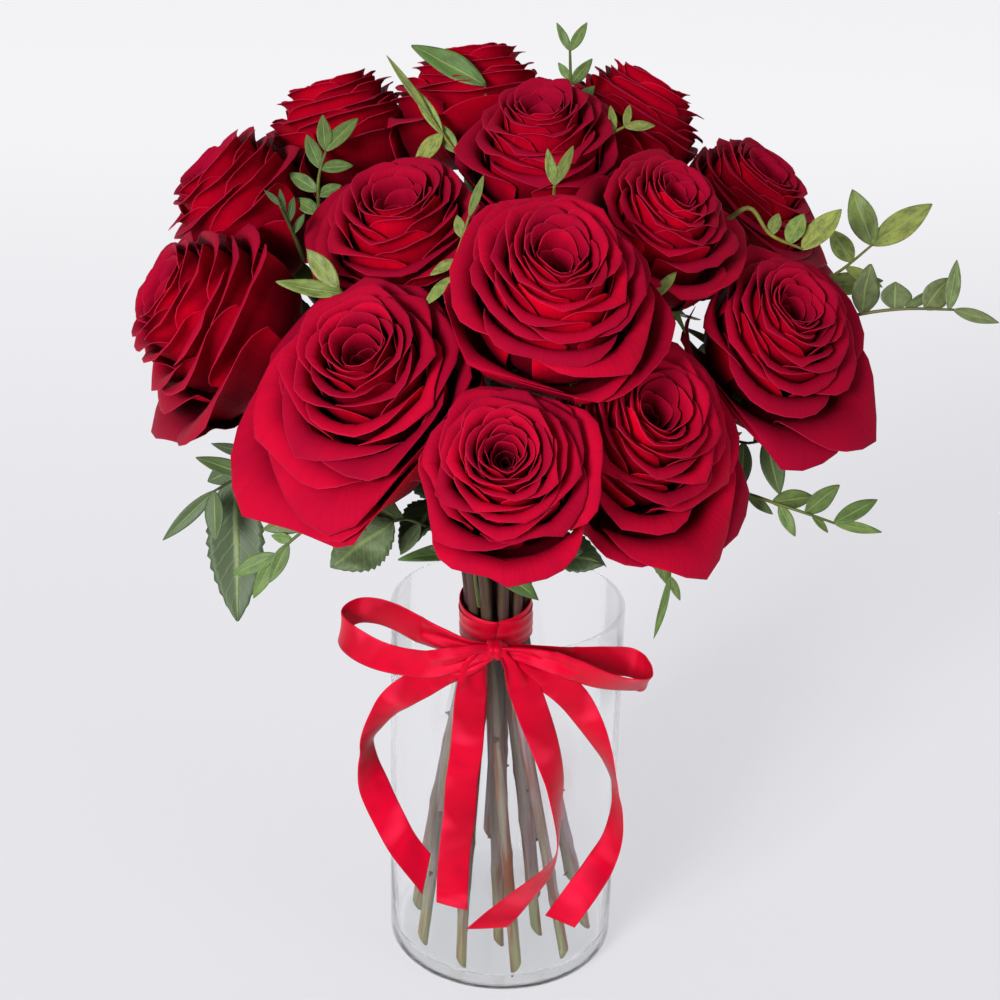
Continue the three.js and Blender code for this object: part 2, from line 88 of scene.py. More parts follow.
# How far each head's low side spreads, how much fuller than usual it is, how far its heart is
# sunk, how far its open face nods towards its low side, and its largest guard petals: the side
# each lies on, in degrees anticlockwise from the head's right, and how much further it reaches.
HABITS = {
    "front_left": (0.26, 1.0, 0, 0.06, [(236, 0.4), (292, 0.25), (10, 0.15)]),
    "front_centre": (-0.04, 0.96, 0, 0.14, [(272, 0.3)]),
    "front_right": (0.02, 1.05, 1, 0.2, [(284, 0.5), (205, 0.2), (330, 0.2)]),
    "centre": (-0.08, 0.98, 0, 0.34, [(212, 0.45), (262, 0.2), (330, 0.15)]),
    "right": (0.14, 0.97, 1, 0.1, [(300, 0.75), (250, 0.35), (200, 0.3)]),
    "left": (0.14, 1.12, 9, 0.0, [(325, 0.6), (250, 0.3), (205, 0.3)]),
    "upper_left": (0.05, 1.18, 6, 0.1, [(200, 0.3), (330, 0.3), (270, 0.4)]),
    "mid_left": (0.1, 1.12, 1, 0.18, [(190, 0.5), (250, 0.25), (345, 0.5)]),
    "top_centre": (0.05, 0.94, 1, 0.32, [(215, 0.4), (300, 0.3)]),
    "mid_right": (-0.1, 0.85, 0, 0.16, [(160, 0.5), (250, 0.2), (320, 0.3)]),
    "upper_right": (0.05, 1.1, 1, 0.1, [(92, 1.0), (300, 0.3), (20, 0.3)]),
    "back_left": (0.0, 1.14, 0, 0.0, [(30, 0.4), (120, 0.4), (220, 0.4), (300, 0.9)]),
    "back_centre": (0.0, 1.14, 0, 0.0, [(10, 0.8), (100, 0.3), (190, 0.7), (290, 0.4)]),
    "back_right": (0.0, 1.12, 0, 0.0, [(30, 0.4), (120, 0.4), (210, 0.4), (300, 0.3)]),
}

PLAIN_HABIT = (0.06, 1.1, 0, 0.0, [])  # of the heads that aren't named above
PETALS = 42  # in each head, besides its largest guard petals

# Each sprig: its kind of leaf, the way its leaves face, its twig's route, and its leaves, each by
# place along the twig, turn from it, length and width.
SPRIGS = {
    "right_long": ("sage", (0.1, -0.9, 0.4), [
        (98, -66, 352), (124, -78, 371), (149, -88, 383), (167, -92, 387), (187, -95, 388)], [
        (0.5, 78, 21, 9), (0.62, 70, 22, 14), (0.76, 85, 12, 15), (0.88, 54, 17, 13),
        (0.98, 82, 22, 7), (1, -12, 20, 6), (0.8, 30, 18, 5)]),
    "right_upper": ("olive", (0, -0.9, 0.35), [
        (98, -52, 358), (122, -56, 378), (143, -60, 394), (156, -62, 407)], [
        (1, 71, 26, 13), (1, -6, 32, 13), (0.85, 84, 17, 10), (0.6, -26, 30, 11), (0.8, -66, 19, 6)]),
    "right_inner": ("olive", (0, -0.8, 0.6), [
        (86, -96, 424), (96, -98, 431), (105, -102, 421), (119, -102, 415)], [
        (0.65, 105, 11, 6), (0.85, 79, 15, 9), (1, 64, 24, 11)]),
    "right_low": ("fresh", (0.1, -0.8, 0.55), [
        (70, -98, 305), (99, -122, 312), (112, -133, 312), (124, -138, 310), (136, -141, 307)], [
        (0.66, 38, 19, 9), (0.84, 60, 20, 9), (1, 51, 23, 8), (1, 11, 21, 5), (0.7, -40, 15, 6),
        (0.88, -26, 10, 4), (0.5, -12, 14, 5)]),
    "right_dark": ("dark", (0.15, -0.85, 0.45), [
        (70, -80, 300), (88, -100, 328), (102, -114, 332), (108, -118, 336)], [
        (1, -96, 25, 11), (0.82, -75, 20, 10), (1, -13, 19, 7), (0.6, -87, 13, 8), (0.9, 40, 14, 7)]),
    "drop": ("fresh", (0.1, -0.95, 0.2), [
        (52, -112, 296), (62, -132, 303), (67, -140, 297), (68, -142, 281)], [
        (1, -13, 29, 4), (0.75, 80, 8, 6), (0.9, 95, 8, 5), (1, 20, 12, 4), (0.3, -95, 32, 11)]),
    "rose_leaf_left": ("rose", (-0.3, -0.9, 0.25), [
        (-70, -92, 308), (-94, -112, 321), (-112, -124, 323), (-119, -128, 317)], [
        (1, 43, 62, 26), (0.9, -23, 20, 11), (0.75, -15, 28, 6)]),
    "left_outer": ("dark", (-0.25, -0.85, 0.45), [
        (-92, -128, 312), (-106, -138, 320), (-116, -142, 321), (-125, -146, 317)], [
        (0.55, -21, 30, 8), (1, 9, 30, 7), (1, 60, 21, 9)]),
    "left_inner": ("fresh", (-0.1, -0.9, 0.4), [
        (-62, -147, 302), (-78, -154, 311), (-88, -158, 304), (-98, -160, 295)], [
        (0.5, -23, 24, 9), (0.8, -52, 9, 5), (0.85, 24, 18, 7), (1, -17, 21, 8), (1, 21, 21, 7)]),
    "rose_leaf_front": ("underside", (0, -0.85, 0.5), [
        (-20, -99, 268), (-34, -120, 290), (-46, -136, 302), (-51, -142, 303)], [
        (1, 13, 32, 24), (0.9, -41, 46, 17), (0.7, 74, 16, 7)]),
    "front_low": ("glossy", (0.1, -0.85, 0.5), [
        (-14, -66, 228), (-15, -80, 242), (-16, -92, 256), (-16, -96, 271)], [
        (1, 92, 35, 9), (1, -130, 37, 13)]),
    "top": ("fresh", (0, -0.95, 0.2), [
        (24, -52, 440), (23, -54, 456), (21, -55, 472), (20, -55, 487)], [
        (1, 23, 13, 4), (1, -35, 14, 5), (0.74, 35, 9, 4), (0.7, -45, 14, 6), (0.52, 32, 8, 4),
        (0.48, -52, 13, 7), (0.25, 55, 15, 6)]),
    "big_leaf": ("glossy", (0, -0.75, 0.6), [
        (-14, -64, 446), (-15, -61, 460), (-16, -58, 472)], [
        (1, 52, 39, 12)]),
    "upper_mid": ("olive", (0, -0.85, 0.5), [
        (-16, -86, 430), (-24, -84, 444), (-32, -82, 454), (-38, -80, 462)], [
        (1, 0, 33, 4), (0.8, -5, 24, 6), (0.55, -7, 15, 7), (0.8, 105, 19, 8), (0.4, -65, 11, 7)]),
    "upper_left": ("fresh", (0, -0.8, 0.55), [
        (-84, -78, 408), (-86, -79, 422), (-86, -78, 435), (-83, -76, 446)], [
        (1, -20, 21, 8), (1, 25, 16, 7), (0.8, 40, 17, 7), (0.55, 58, 16, 7), (0.3, 50, 14, 7),
        (0.8, -65, 14, 7), (0.5, -65, 11, 6)]),
    "gap_left": ("dark", (0, -0.8, 0.6), [
        (-90, -100, 402), (-93, -103, 412), (-96, -105, 420), (-99, -106, 427)], [
        (1, 10, 10, 3), (0.85, -20, 12, 3), (0.7, -40, 12, 4), (0.5, -55, 10, 4)]),
    "gap_front_left": ("olive", (0, -0.8, 0.6), [
        (-64, -134, 388), (-68, -140, 397), (-72, -144, 404)], [
        (1, -12, 20, 9), (0.8, 32, 27, 8)]),
    "gap_front": ("olive", (0, -0.8, 0.6), [
        (-28, -156, 402), (-26, -154, 414), (-23, -151, 425), (-20, -148, 435)], [
        (1, 0, 18, 4), (0.75, 32, 10, 5), (0.5, 140, 12, 5), (0.3, 150, 16, 5)]),
    "gap_centre": ("olive", (0, -0.8, 0.6), [
        (12, -130, 428), (13, -135, 437), (13, -139, 446)], [
        (1, 12, 15, 5), (1, -25, 20, 5)]),
    "gap_upper": ("olive", (0, -0.8, 0.6), [
        (32, -78, 444), (35, -82, 453), (43, -82, 458)], [
        (0.5, 60, 12, 3), (0.75, 70, 13, 4), (1, 50, 11, 4), (1, -20, 13, 5)]),
    "gap_right": ("olive", (0, -0.8, 0.6), [
        (60, -142, 390), (57, -147, 398), (54, -149, 404)], [
        (1, -75, 15, 5), (1, -10, 9, 5)]),
    "back_fill": ("dark", (-0.2, 0.9, 0.3), [
        (-40, 52, 330), (-46, 72, 360), (-48, 84, 392), (-46, 84, 418)], [
        (1, 0, 22, 9), (0.85, 50, 20, 9), (0.85, -50, 20, 9), (0.6, 60, 20, 9), (0.6, -60, 20, 9)]),
}

# The ribbon's strips: middle of the strip, the way it lies across, and its width where it is
# drawn together.
LOOP_LEFT = [
    (-6, -62, 203, 0, 0, 1, 7), (-19, -60.5, 203, 0.2, -0.2, 1, 11), (-30, -56, 204, 0.25, -0.2, 1, 14),
    (-43, -51, 207, 0.25, -0.2, 1), (-54, -47, 211, 0.15, -0.2, 1), (-64, -44, 213, 0.05, -0.25, 1),
    (-73, -44, 213, 0, -0.3, 1), (-79, -48, 211, 0, -0.25, 1), (-81, -53, 209, 0.1, -0.15, 1),
    (-78, -59, 207, 0.2, 0, 1), (-71, -64, 204, 0.2, 0.1, 1), (-62, -67, 201, 0.15, 0, 1),
    (-50, -69, 199, 0.1, -0.15, 1), (-38, -69, 198, 0.1, -0.2, 1), (-26, -68, 200, 0.1, -0.25, 1, 15),
    (-15, -67, 203, 0.1, -0.3, 1, 11), (-6, -66, 204, 0.05, -0.3, 1, 7),
]
LOOP_RIGHT = [
    (-5, -62, 203, 0, 0, 1, 7), (6, -61.5, 201, 0, 0, 1, 11), (18, -59, 197.5, 0, 0, 1, 14),
    (32, -55, 194, 0, 0, 1), (47, -52, 193, 0, 0, 1), (60, -50, 191.5, 0, 0, 1),
    (66, -53, 190, 0.05, -0.15, 1), (69, -58, 188.5, 0.1, -0.5, 1), (67, -63.5, 187, 0.2, -0.8, 0.8),
    (58, -67, 188, 0.2, -0.8, 0.9), (46, -69, 191, 0.15, -0.6, 1), (34, -70, 196, 0.1, -0.4, 1),
    (22, -69, 200, 0.1, -0.35, 1, 15), (10, -68, 203, 0.1, -0.3, 1, 11),
    (-4, -66, 204, 0.05, -0.3, 1, 7),
]
TAIL_LEFT = [
    (-6, -64, 203.5, -0.25, 0, 1, 7), (-18, -66, 198, -0.3, 0, 0.95, 13),
    (-30, -66.5, 193, -0.25, -0.1, 1), (-41, -66, 186, -0.25, 0, 1), (-52, -64, 177, -0.3, -0.2, 0.9),
    (-59, -62, 168, -0.35, -0.5, 0.8), (-65, -61, 157, -0.3, -0.7, 0.7),
    (-68, -60, 147, -0.2, -0.85, 0.45), (-67.5, -59.5, 135, -0.6, -0.8, 0.2),
    (-64, -60, 122, -0.95, -0.35, -0.05), (-57, -61.5, 106, -0.9, -0.2, -0.4),
    (-50, -63.5, 93, -0.8, -0.25, -0.6), (-38, -66, 77, -0.8, -0.25, -0.6),
]
TAIL_RIGHT = [
    (-5, -64, 203.5, 0.2, 0, 1, 7), (9, -66, 198, 0.3, 0, 0.95, 13), (21, -66, 190, 0.3, 0, 0.95),
    (32, -64, 179, 0.4, -0.1, 0.9), (40, -62.5, 166, 0.35, -0.4, 0.85),
    (47, -61, 151, 0.25, -0.65, 0.7), (52, -60, 138, 0.15, -0.8, 0.55),
    (55.5, -60, 126, 0.1, -0.9, 0.4), (57, -60.5, 113, 0.25, -0.85, 0.4),
    (55, -62, 97, 0.55, -0.8, 0.2), (49, -65, 84, 0.8, -0.6, -0.1), (41, -68, 71, 0.8, -0.55, -0.3),
    (30, -71, 54, 0.75, -0.55, -0.35),
]
LONG_LEFT = [
    (-10, -64, 203, -1, 0, 0, 9), (-15, -64, 196, -0.85, -0.5, 0.15, 15),
    (-17, -65, 182, -0.95, -0.3, 0.1), (-18, -65.5, 165, -1, -0.2, 0.1), (-19, -65, 148, -1, 0, 0),
    (-21, -64.5, 131, -1, -0.1, 0.1), (-22, -64, 110, -1, 0, 0), (-24, -63.5, 89, -1, -0.15, 0.15),
    (-25, -63, 67, -1, 0, 0.1), (-25, -63, 56, -1, 0, 0.1),
]
LONG_RIGHT = [
    (-2, -67, 203.5, -0.35, -0.9, 0.05, 8), (3, -68, 198, -0.75, -0.65, 0, 13),
    (8, -69, 187, -0.93, -0.37, -0.07), (14, -69, 170, -0.93, -0.33, -0.15),
    (20, -69, 153, -0.82, -0.57, 0.1), (25, -68, 135, -0.55, -0.8, 0.25),
    (27, -67.5, 119, -0.3, -0.9, 0.35), (28, -67, 104, -0.13, -0.9, 0.44),
    (27, -67.5, 93, -0.06, -0.9, 0.44), (21, -69, 80, -0.4, -0.73, 0.57),
    (10, -71, 68, -0.6, -0.48, 0.66), (0, -73, 58, -0.74, -0.2, 0.65), (-7, -74, 51, -0.52, -0.2, 0.83),
]
KNOT_CENTRE = np.array([-5.5, -64.5, 204.3])
RIBBON_WIDTH = 16.0

PETAL_THICKNESS = 0.34
SEPAL_THICKNESS = 0.5
LEAF_THICKNESS = 0.32
STRIP_THICKNESS = 0.4
BAND_THICKNESS = 0.3
KNOT_THICKNESS = 0.35
STEM_RADIUS = 2.75
PITH_SHARE = 0.72  # of a cut stem's radius
THORNLESS = (193, 232)  # heights between which the ribbon lies on the stems

# ---- finishes


def shader_sum(operation, turned=False):
    """A Python operator that adds a Math node; turned is for a plain number on the left."""
    def work(self, other):
        first, second = (other, self) if turned else (self, other)
        return self.finish.add("ShaderNodeMath", {"operation": operation}, {0: first, 1: second})
    return work


class Value:
    """A number that changes over a surface, so that shader sums read as plain sums."""

    def __init__(self, finish, socket):
        self.finish, self.socket = finish, socket

    __add__, __radd__ = shader_sum("ADD"), shader_sum("ADD", turned=True)
    __sub__, __rsub__ = shader_sum("SUBTRACT"), shader_sum("SUBTRACT", turned=True)
    __mul__, __rmul__ = shader_sum("MULTIPLY"), shader_sum("MULTIPLY", turned=True)

    def __abs__(self):
        return self.finish.add("ShaderNodeMath", {"operation": "ABSOLUTE"}, {0: self})


class Finish:
    """One material, built node by node around a single surface shader."""

    def __init__(self, name, **constants):
        self.material = bpy.data.materials.new(name)
        self.material.use_nodes = True
        self.tree = self.material.node_tree
        self.tree.nodes.clear()
        self.shader = self.tree.nodes.new("ShaderNodeBsdfPrincipled")
        output = self.tree.nodes.new("ShaderNodeOutputMaterial")
        self.tree.links.new(self.shader.outputs[0], output.inputs["Surface"])
        for socket, value in constants.items():
            self.shader.inputs[socket.replace("_", " ")].default_value = value

    def add(self, kind, settings=None, inputs=None, output=0):
        """Adds one node: its settings first, then the values or links of its sockets."""
        node = self.tree.nodes.new(kind)
        for setting, value in (settings or {}).items():
            setattr(node, setting, value)
        for socket, value in (inputs or {}).items():
            self.feed(node.inputs[socket], value)
        return Value(self, node.outputs[output])

    def feed(self, socket, value):
        if isinstance(value, Value):
            self.tree.links.new(value.socket, socket)
        elif isinstance(value, (tuple, list)) and len(value) == 3 and socket.type == "RGBA":
            socket.default_value = (*value, 1.0)
        else:
            socket.default_value = value

    def set(self, **surface):
        for socket, value in surface.items():
            self.feed(self.shader.inputs[socket.replace("_", " ")], value)
        return self.material

    def mix(self, amount, first, second):
        return self.add("ShaderNodeMix", {"data_type": "RGBA"}, {0: amount, 6: first, 7: second}, 2)

    def parts(self, name):
        """The three numbers kept at each corner under that name."""
        kept = self.add("ShaderNodeAttribute", {"attribute_name": name}, output=1)
        return [self.add("ShaderNodeSeparateXYZ", inputs={0: kept}, output=i) for i in range(3)]

    def colour_of(self, name):
        return self.add("ShaderNodeAttribute", {"attribute_name": name}, output=0)

    def own_place(self):
        """The place on the piece itself, in metres."""
        return self.add("ShaderNodeTexCoord", output=3)

    def own_level(self, axis):
        """How far along the piece's own X, Y or Z, counted from 0."""
        return self.add("ShaderNodeSeparateXYZ", inputs={0: self.own_place()}, output=axis)

    def point(self, x, y, z):
        return self.add("ShaderNodeCombineXYZ", inputs={0: x, 1: y, 2: z})

    def noise(self, scale, detail=3.0, roughness=0.5, place=None):
        place = place or self.own_place()
        inputs = {"Scale": scale, "Detail": detail, "Roughness": roughness, "Vector": place}
        return self.add("ShaderNodeTexNoise", inputs=inputs)

    def steps(self, value, low, high):
        """0 below low and 1 above high, smoothly between."""
        return self.add(
            "ShaderNodeMapRange", {"interpolation_type": "SMOOTHSTEP"}, {0: value, 1: low, 2: high}
        )

    def bumps(self, height, distance, strength, under=None):
        """Relief so many metres high, laid over another one if there is one under it."""
        inputs = {"Height": height, "Distance": distance, "Strength": strength}
        return self.add("ShaderNodeBump", inputs=inputs | ({"Normal": under} if under else {}))


def petal_finish():
    """Velvety crimson petals: fine veins and purple-red backs, with painted shade towards each petal's
    base and thin rims painted paler as a highlight.
    """
    f = Finish(
        "petal_velvet", Sheen_Weight=0.05, Sheen_Roughness=0.4, Sheen_Tint=(0.8, 0.03, 0.15, 1.0),
        Specular_IOR_Level=0.1, Specular_Tint=(1.0, 0.1, 0.25, 1.0), IOR=1.4,
    )
    across, along, rim = f.parts("place")
    # tone carries the painted front light and the painted heart shade; depth drives the painted shade
    # towards each petal's base.
    tone, back, depth = f.parts("kind")
    veins = f.noise(1.0, 4.0, 0.6, f.point(across * 26.0, along * 2.2, tone * 40.0))
    blush = f.noise(1.0, 2.0, 0.5, f.point(across * 2.5, along * 2.5, tone * 71.0))
    colour = f.mix(tone, (0.3, 0.0004, 0.01), (0.78, 0.0006, 0.019))
    colour = f.mix(f.steps(blush, 0.35, 0.75) * 0.4, colour, (0.2, 0.0006, 0.012))
    colour = f.mix(f.steps(veins, 0.45, 0.8) * 0.28, colour, (0.24, 0.0005, 0.01))
    colour = f.mix(back * 0.6, colour, (0.19, 0.003, 0.022))
    # Painted shade: darker towards each petal's base, deep between the other petals.
    colour = f.mix(f.steps(depth, 0.03, 0.4) * 0.88, colour, (0.06, 0.0003, 0.003))
    # Painted highlight: thin paler rims along the petals' edges, where they catch the light.
    colour = f.mix(f.steps(rim, 0.6, 1.0) * 0.5, colour, (0.36, 0.022, 0.06))
    grain = f.noise(2600.0, 2.0, 0.6)
    return f.set(
        Base_Color=colour,
        Roughness=0.5 + veins * 0.16,
        Normal=f.bumps(grain, 0.00006, 0.5, f.bumps(veins, 0.0005, 0.55)),
    )


def calyx_finish():
    """Green hips and sepals with a reddish flush."""
    f = Finish("calyx_green", Specular_IOR_Level=0.35)
    flush = f.noise(90.0, 3.0)
    fibres = f.noise(700.0, 3.0, 0.6)
    colour = f.mix(flush, (0.055, 0.115, 0.02), (0.13, 0.19, 0.045))
    colour = f.mix(f.steps(flush, 0.55, 0.8) * 0.5, colour, (0.16, 0.06, 0.03))
    return f.set(
        Base_Color=colour, Roughness=0.5 + fibres * 0.15, Normal=f.bumps(fibres, 0.0002, 0.5)
    )


def stem_finish():
    """Rose wood: reddish brown and olive above the tie, duller and greyer below it, and paler there in
    part as painted light.
    """
    f = Finish("stem_bark", Specular_IOR_Level=0.4)
    around, _, pith = f.parts("place")
    tone, thorn, level = f.parts("kind")
    streaks = f.noise(1.0, 4.0, 0.6, f.point(around * 3.0, level * 26.0, tone * 60.0))
    patches = f.noise(1.0, 3.0, 0.55, f.point(around * 1.2, level * 9.0, tone * 33.0))
    upper = f.mix(f.steps(patches, 0.4, 0.65), (0.055, 0.016, 0.018), (0.06, 0.045, 0.02))
    # Painted light in part: below the tie the stems are painted paler than their own colour, standing
    # in for the light on them.
    lower = f.mix(f.steps(patches, 0.35, 0.6), (0.36, 0.27, 0.31), (0.27, 0.25, 0.18))
    lower = f.mix(1.0 - f.steps(level, 0.01, 0.07), lower, (0.27, 0.28, 0.12))
    woody = f.noise(1.0, 2.0, 0.5, f.point(around * 0.6, level * 14.0, tone * 27.0))
    lower = f.mix(f.steps(woody, 0.48, 0.6) * 0.85, lower, (0.22, 0.07, 0.03))
    colour = f.mix(f.steps(level, 0.15, 0.21), lower, upper)
    colour = f.mix(f.steps(streaks, 0.5, 0.7) * 0.45, colour, (0.12, 0.04, 0.024))
    colour = f.mix(thorn * 0.6, colour, (0.2, 0.09, 0.06))
    colour = f.mix(pith, colour, (0.62, 0.52, 0.3))
    return f.set(
        Base_Color=colour,
        Roughness=0.48 + streaks * 0.2,
        Normal=f.bumps(streaks, 0.0006, 0.6, f.bumps(f.noise(1500.0), 0.0001, 0.5)),
    )


def leaf_finish():
    """Leaves: pale midrib and side veins, blotches and small brown marks."""
    f = Finish("leaf_green", Specular_IOR_Level=0.25)
    across, along, side_veins = f.parts("place")
    tone, back, blemish = f.parts("kind")
    tint = f.colour_of("tint")
    rib = 1.0 - f.steps(abs(across), 0.03, 0.13)
    wave = f.add("ShaderNodeMath", {"operation": "SINE"}, {0: along * 58.0 + abs(across) * -13.0})
    veins = f.steps(wave, 0.72, 0.98) * side_veins
    mottle = f.noise(1.0, 3.0, 0.6, f.point(across * 2.0, along * 5.0, tone * 50.0))
    spots = f.noise(1.0, 2.0, 0.5, f.point(across * 7.0, along * 16.0, tone * 90.0))
    darker = f.mix(1.0 - mottle * 0.9, tint, (0.012, 0.03, 0.01))
    colour = f.mix(f.steps(mottle, 0.3, 0.7), darker, tint)
    colour = f.mix(veins * 0.25, colour, (0.16, 0.24, 0.06))
    colour = f.mix(rib * 0.55, colour, (0.26, 0.34, 0.09))
    colour = f.mix(back * 0.3, colour, (0.14, 0.18, 0.08))
    colour = f.mix(f.steps(spots, 0.62, 0.7) * blemish, colour, (0.1, 0.05, 0.015))
    relief = f.bumps(veins * 0.4 + rib - mottle * 0.4, 0.00035, 0.6)
    return f.set(Base_Color=colour, Roughness=0.36 + mottle * 0.22, Normal=relief)


def satin_finish():
    """Red satin: smooth, close weave, with painted bands of highlight and shade standing in for the
    streaks of light that satin catches.
    """
    f = Finish(
        "satin_red", Specular_IOR_Level=0.7, Specular_Tint=(1.0, 0.05, 0.14, 1.0), Anisotropic=0.6,
    )
    across, along, edge = f.parts("place")
    threads = f.add("ShaderNodeMath", {"operation": "SINE"}, {0: across * 240.0})
    slubs = f.noise(1.0, 3.0, 0.6, f.point(across * 60.0, along * 30.0, 0.0))
    # Painted light and shade: soft lighter and darker patches along the ribbon.
    painted_satin_shading = f.noise(1.0, 1.0, 0.4, f.point(across * 0.3 + along * 0.2, along * 0.55, 3.0))
    colour = f.mix(f.steps(painted_satin_shading, 0.3, 0.7), (0.4, 0.0003, 0.012), (0.56, 0.0005, 0.019))
    colour = f.mix(f.steps(slubs, 0.55, 0.85) * 0.15, colour, (0.4, 0.0004, 0.012))
    colour = f.mix(edge * 0.3, colour, (0.42, 0.0004, 0.012))
    # Painted highlight bands across the ribbon, with painted shade between them.
    painted_glint_bands = f.noise(1.0, 1.0, 0.4, f.point(across * 0.3, along * 0.95, 7.0))
    colour = f.mix(f.steps(painted_glint_bands, 0.54, 0.74) * 0.55, colour, (0.78, 0.02, 0.065))
    colour = f.mix((1.0 - f.steps(painted_glint_bands, 0.28, 0.46)) * 0.6, colour, (0.3, 0.0003, 0.011))
    return f.set(
        Base_Color=colour,
        Roughness=0.24 + slubs * 0.12,
        Normal=f.bumps(slubs, 0.0002, 0.35, f.bumps(threads, 0.00002, 0.3)),
    )


def glass_finish():
    """Clear pressed glass, very slightly wavy and faintly smudged."""
    f = Finish("clear_glass", Transmission_Weight=1.0, IOR=1.15, Coat_Weight=0.5, Coat_IOR=1.45)
    ripple = f.noise(22.0, 2.0, 0.4)
    smudge = f.noise(60.0, 4.0, 0.65)
    tint = f.mix(ripple, (0.992, 0.998, 0.998), (0.997, 1.0, 1.0))
    height = f.own_level(2)
    tint = f.mix(1.0 - f.steps(height, 0.006, 0.014), tint, (0.95, 0.97, 0.976))
    return f.set(
        Base_Color=tint,
        Alpha=1.0 - f.steps(height, 0.15, 0.19) * 0.62,
        Roughness=f.steps(smudge, 0.55, 0.9) * 0.035,
        Normal=f.bumps(ripple, 0.0006, 0.12),
    )


def floor_finish():
    """Pale studio paper that glows and is painted lighter towards the back: painted light."""
    f = Finish("glowing_pale_paper", Specular_IOR_Level=0.05, Emission_Strength=0.74)
    grain = f.noise(18.0, 3.0)
    # Painted light: the floor is lighter towards the back.
    colour = f.mix(f.steps(f.own_level(1), -0.5, 2.4), (0.71, 0.705, 0.74), (0.98, 0.975, 1.0))
    colour = f.mix(grain * 0.03, colour, (0.75, 0.75, 0.79))
    return f.set(
        # The floor glows through its emission though it is no lamp, which hides most of its shadows.
        Base_Color=f.mix(0.6, colour, (0.0, 0.0, 0.0)), Roughness=0.85 + grain * 0.1,
        Emission_Color=colour,
    )


# Leaf colours by kind of foliage: base tint, how brown-spotted, and how clear the side veins are.
LEAF_TINTS = {
    "sage": ((0.12, 0.165, 0.06), 0.35, 0.35),
    "olive": ((0.2, 0.25, 0.035), 0.5, 0.3),
    "fresh": ((0.085, 0.16, 0.02), 0.0, 0.3),
    "dark": ((0.026, 0.07, 0.014), 0.0, 0.3),
    # The dark rose tint is partly painted shade: it is darkened so these leaves stand in for the shade
    # where they lie.
    "rose": ((0.013, 0.036, 0.017), 0.15, 0.9),
    "underside": ((0.11, 0.15, 0.07), 0.0, 0.9),
    "glossy": ((0.05, 0.135, 0.016), 0.0, 0.5),
}

# ---- forms


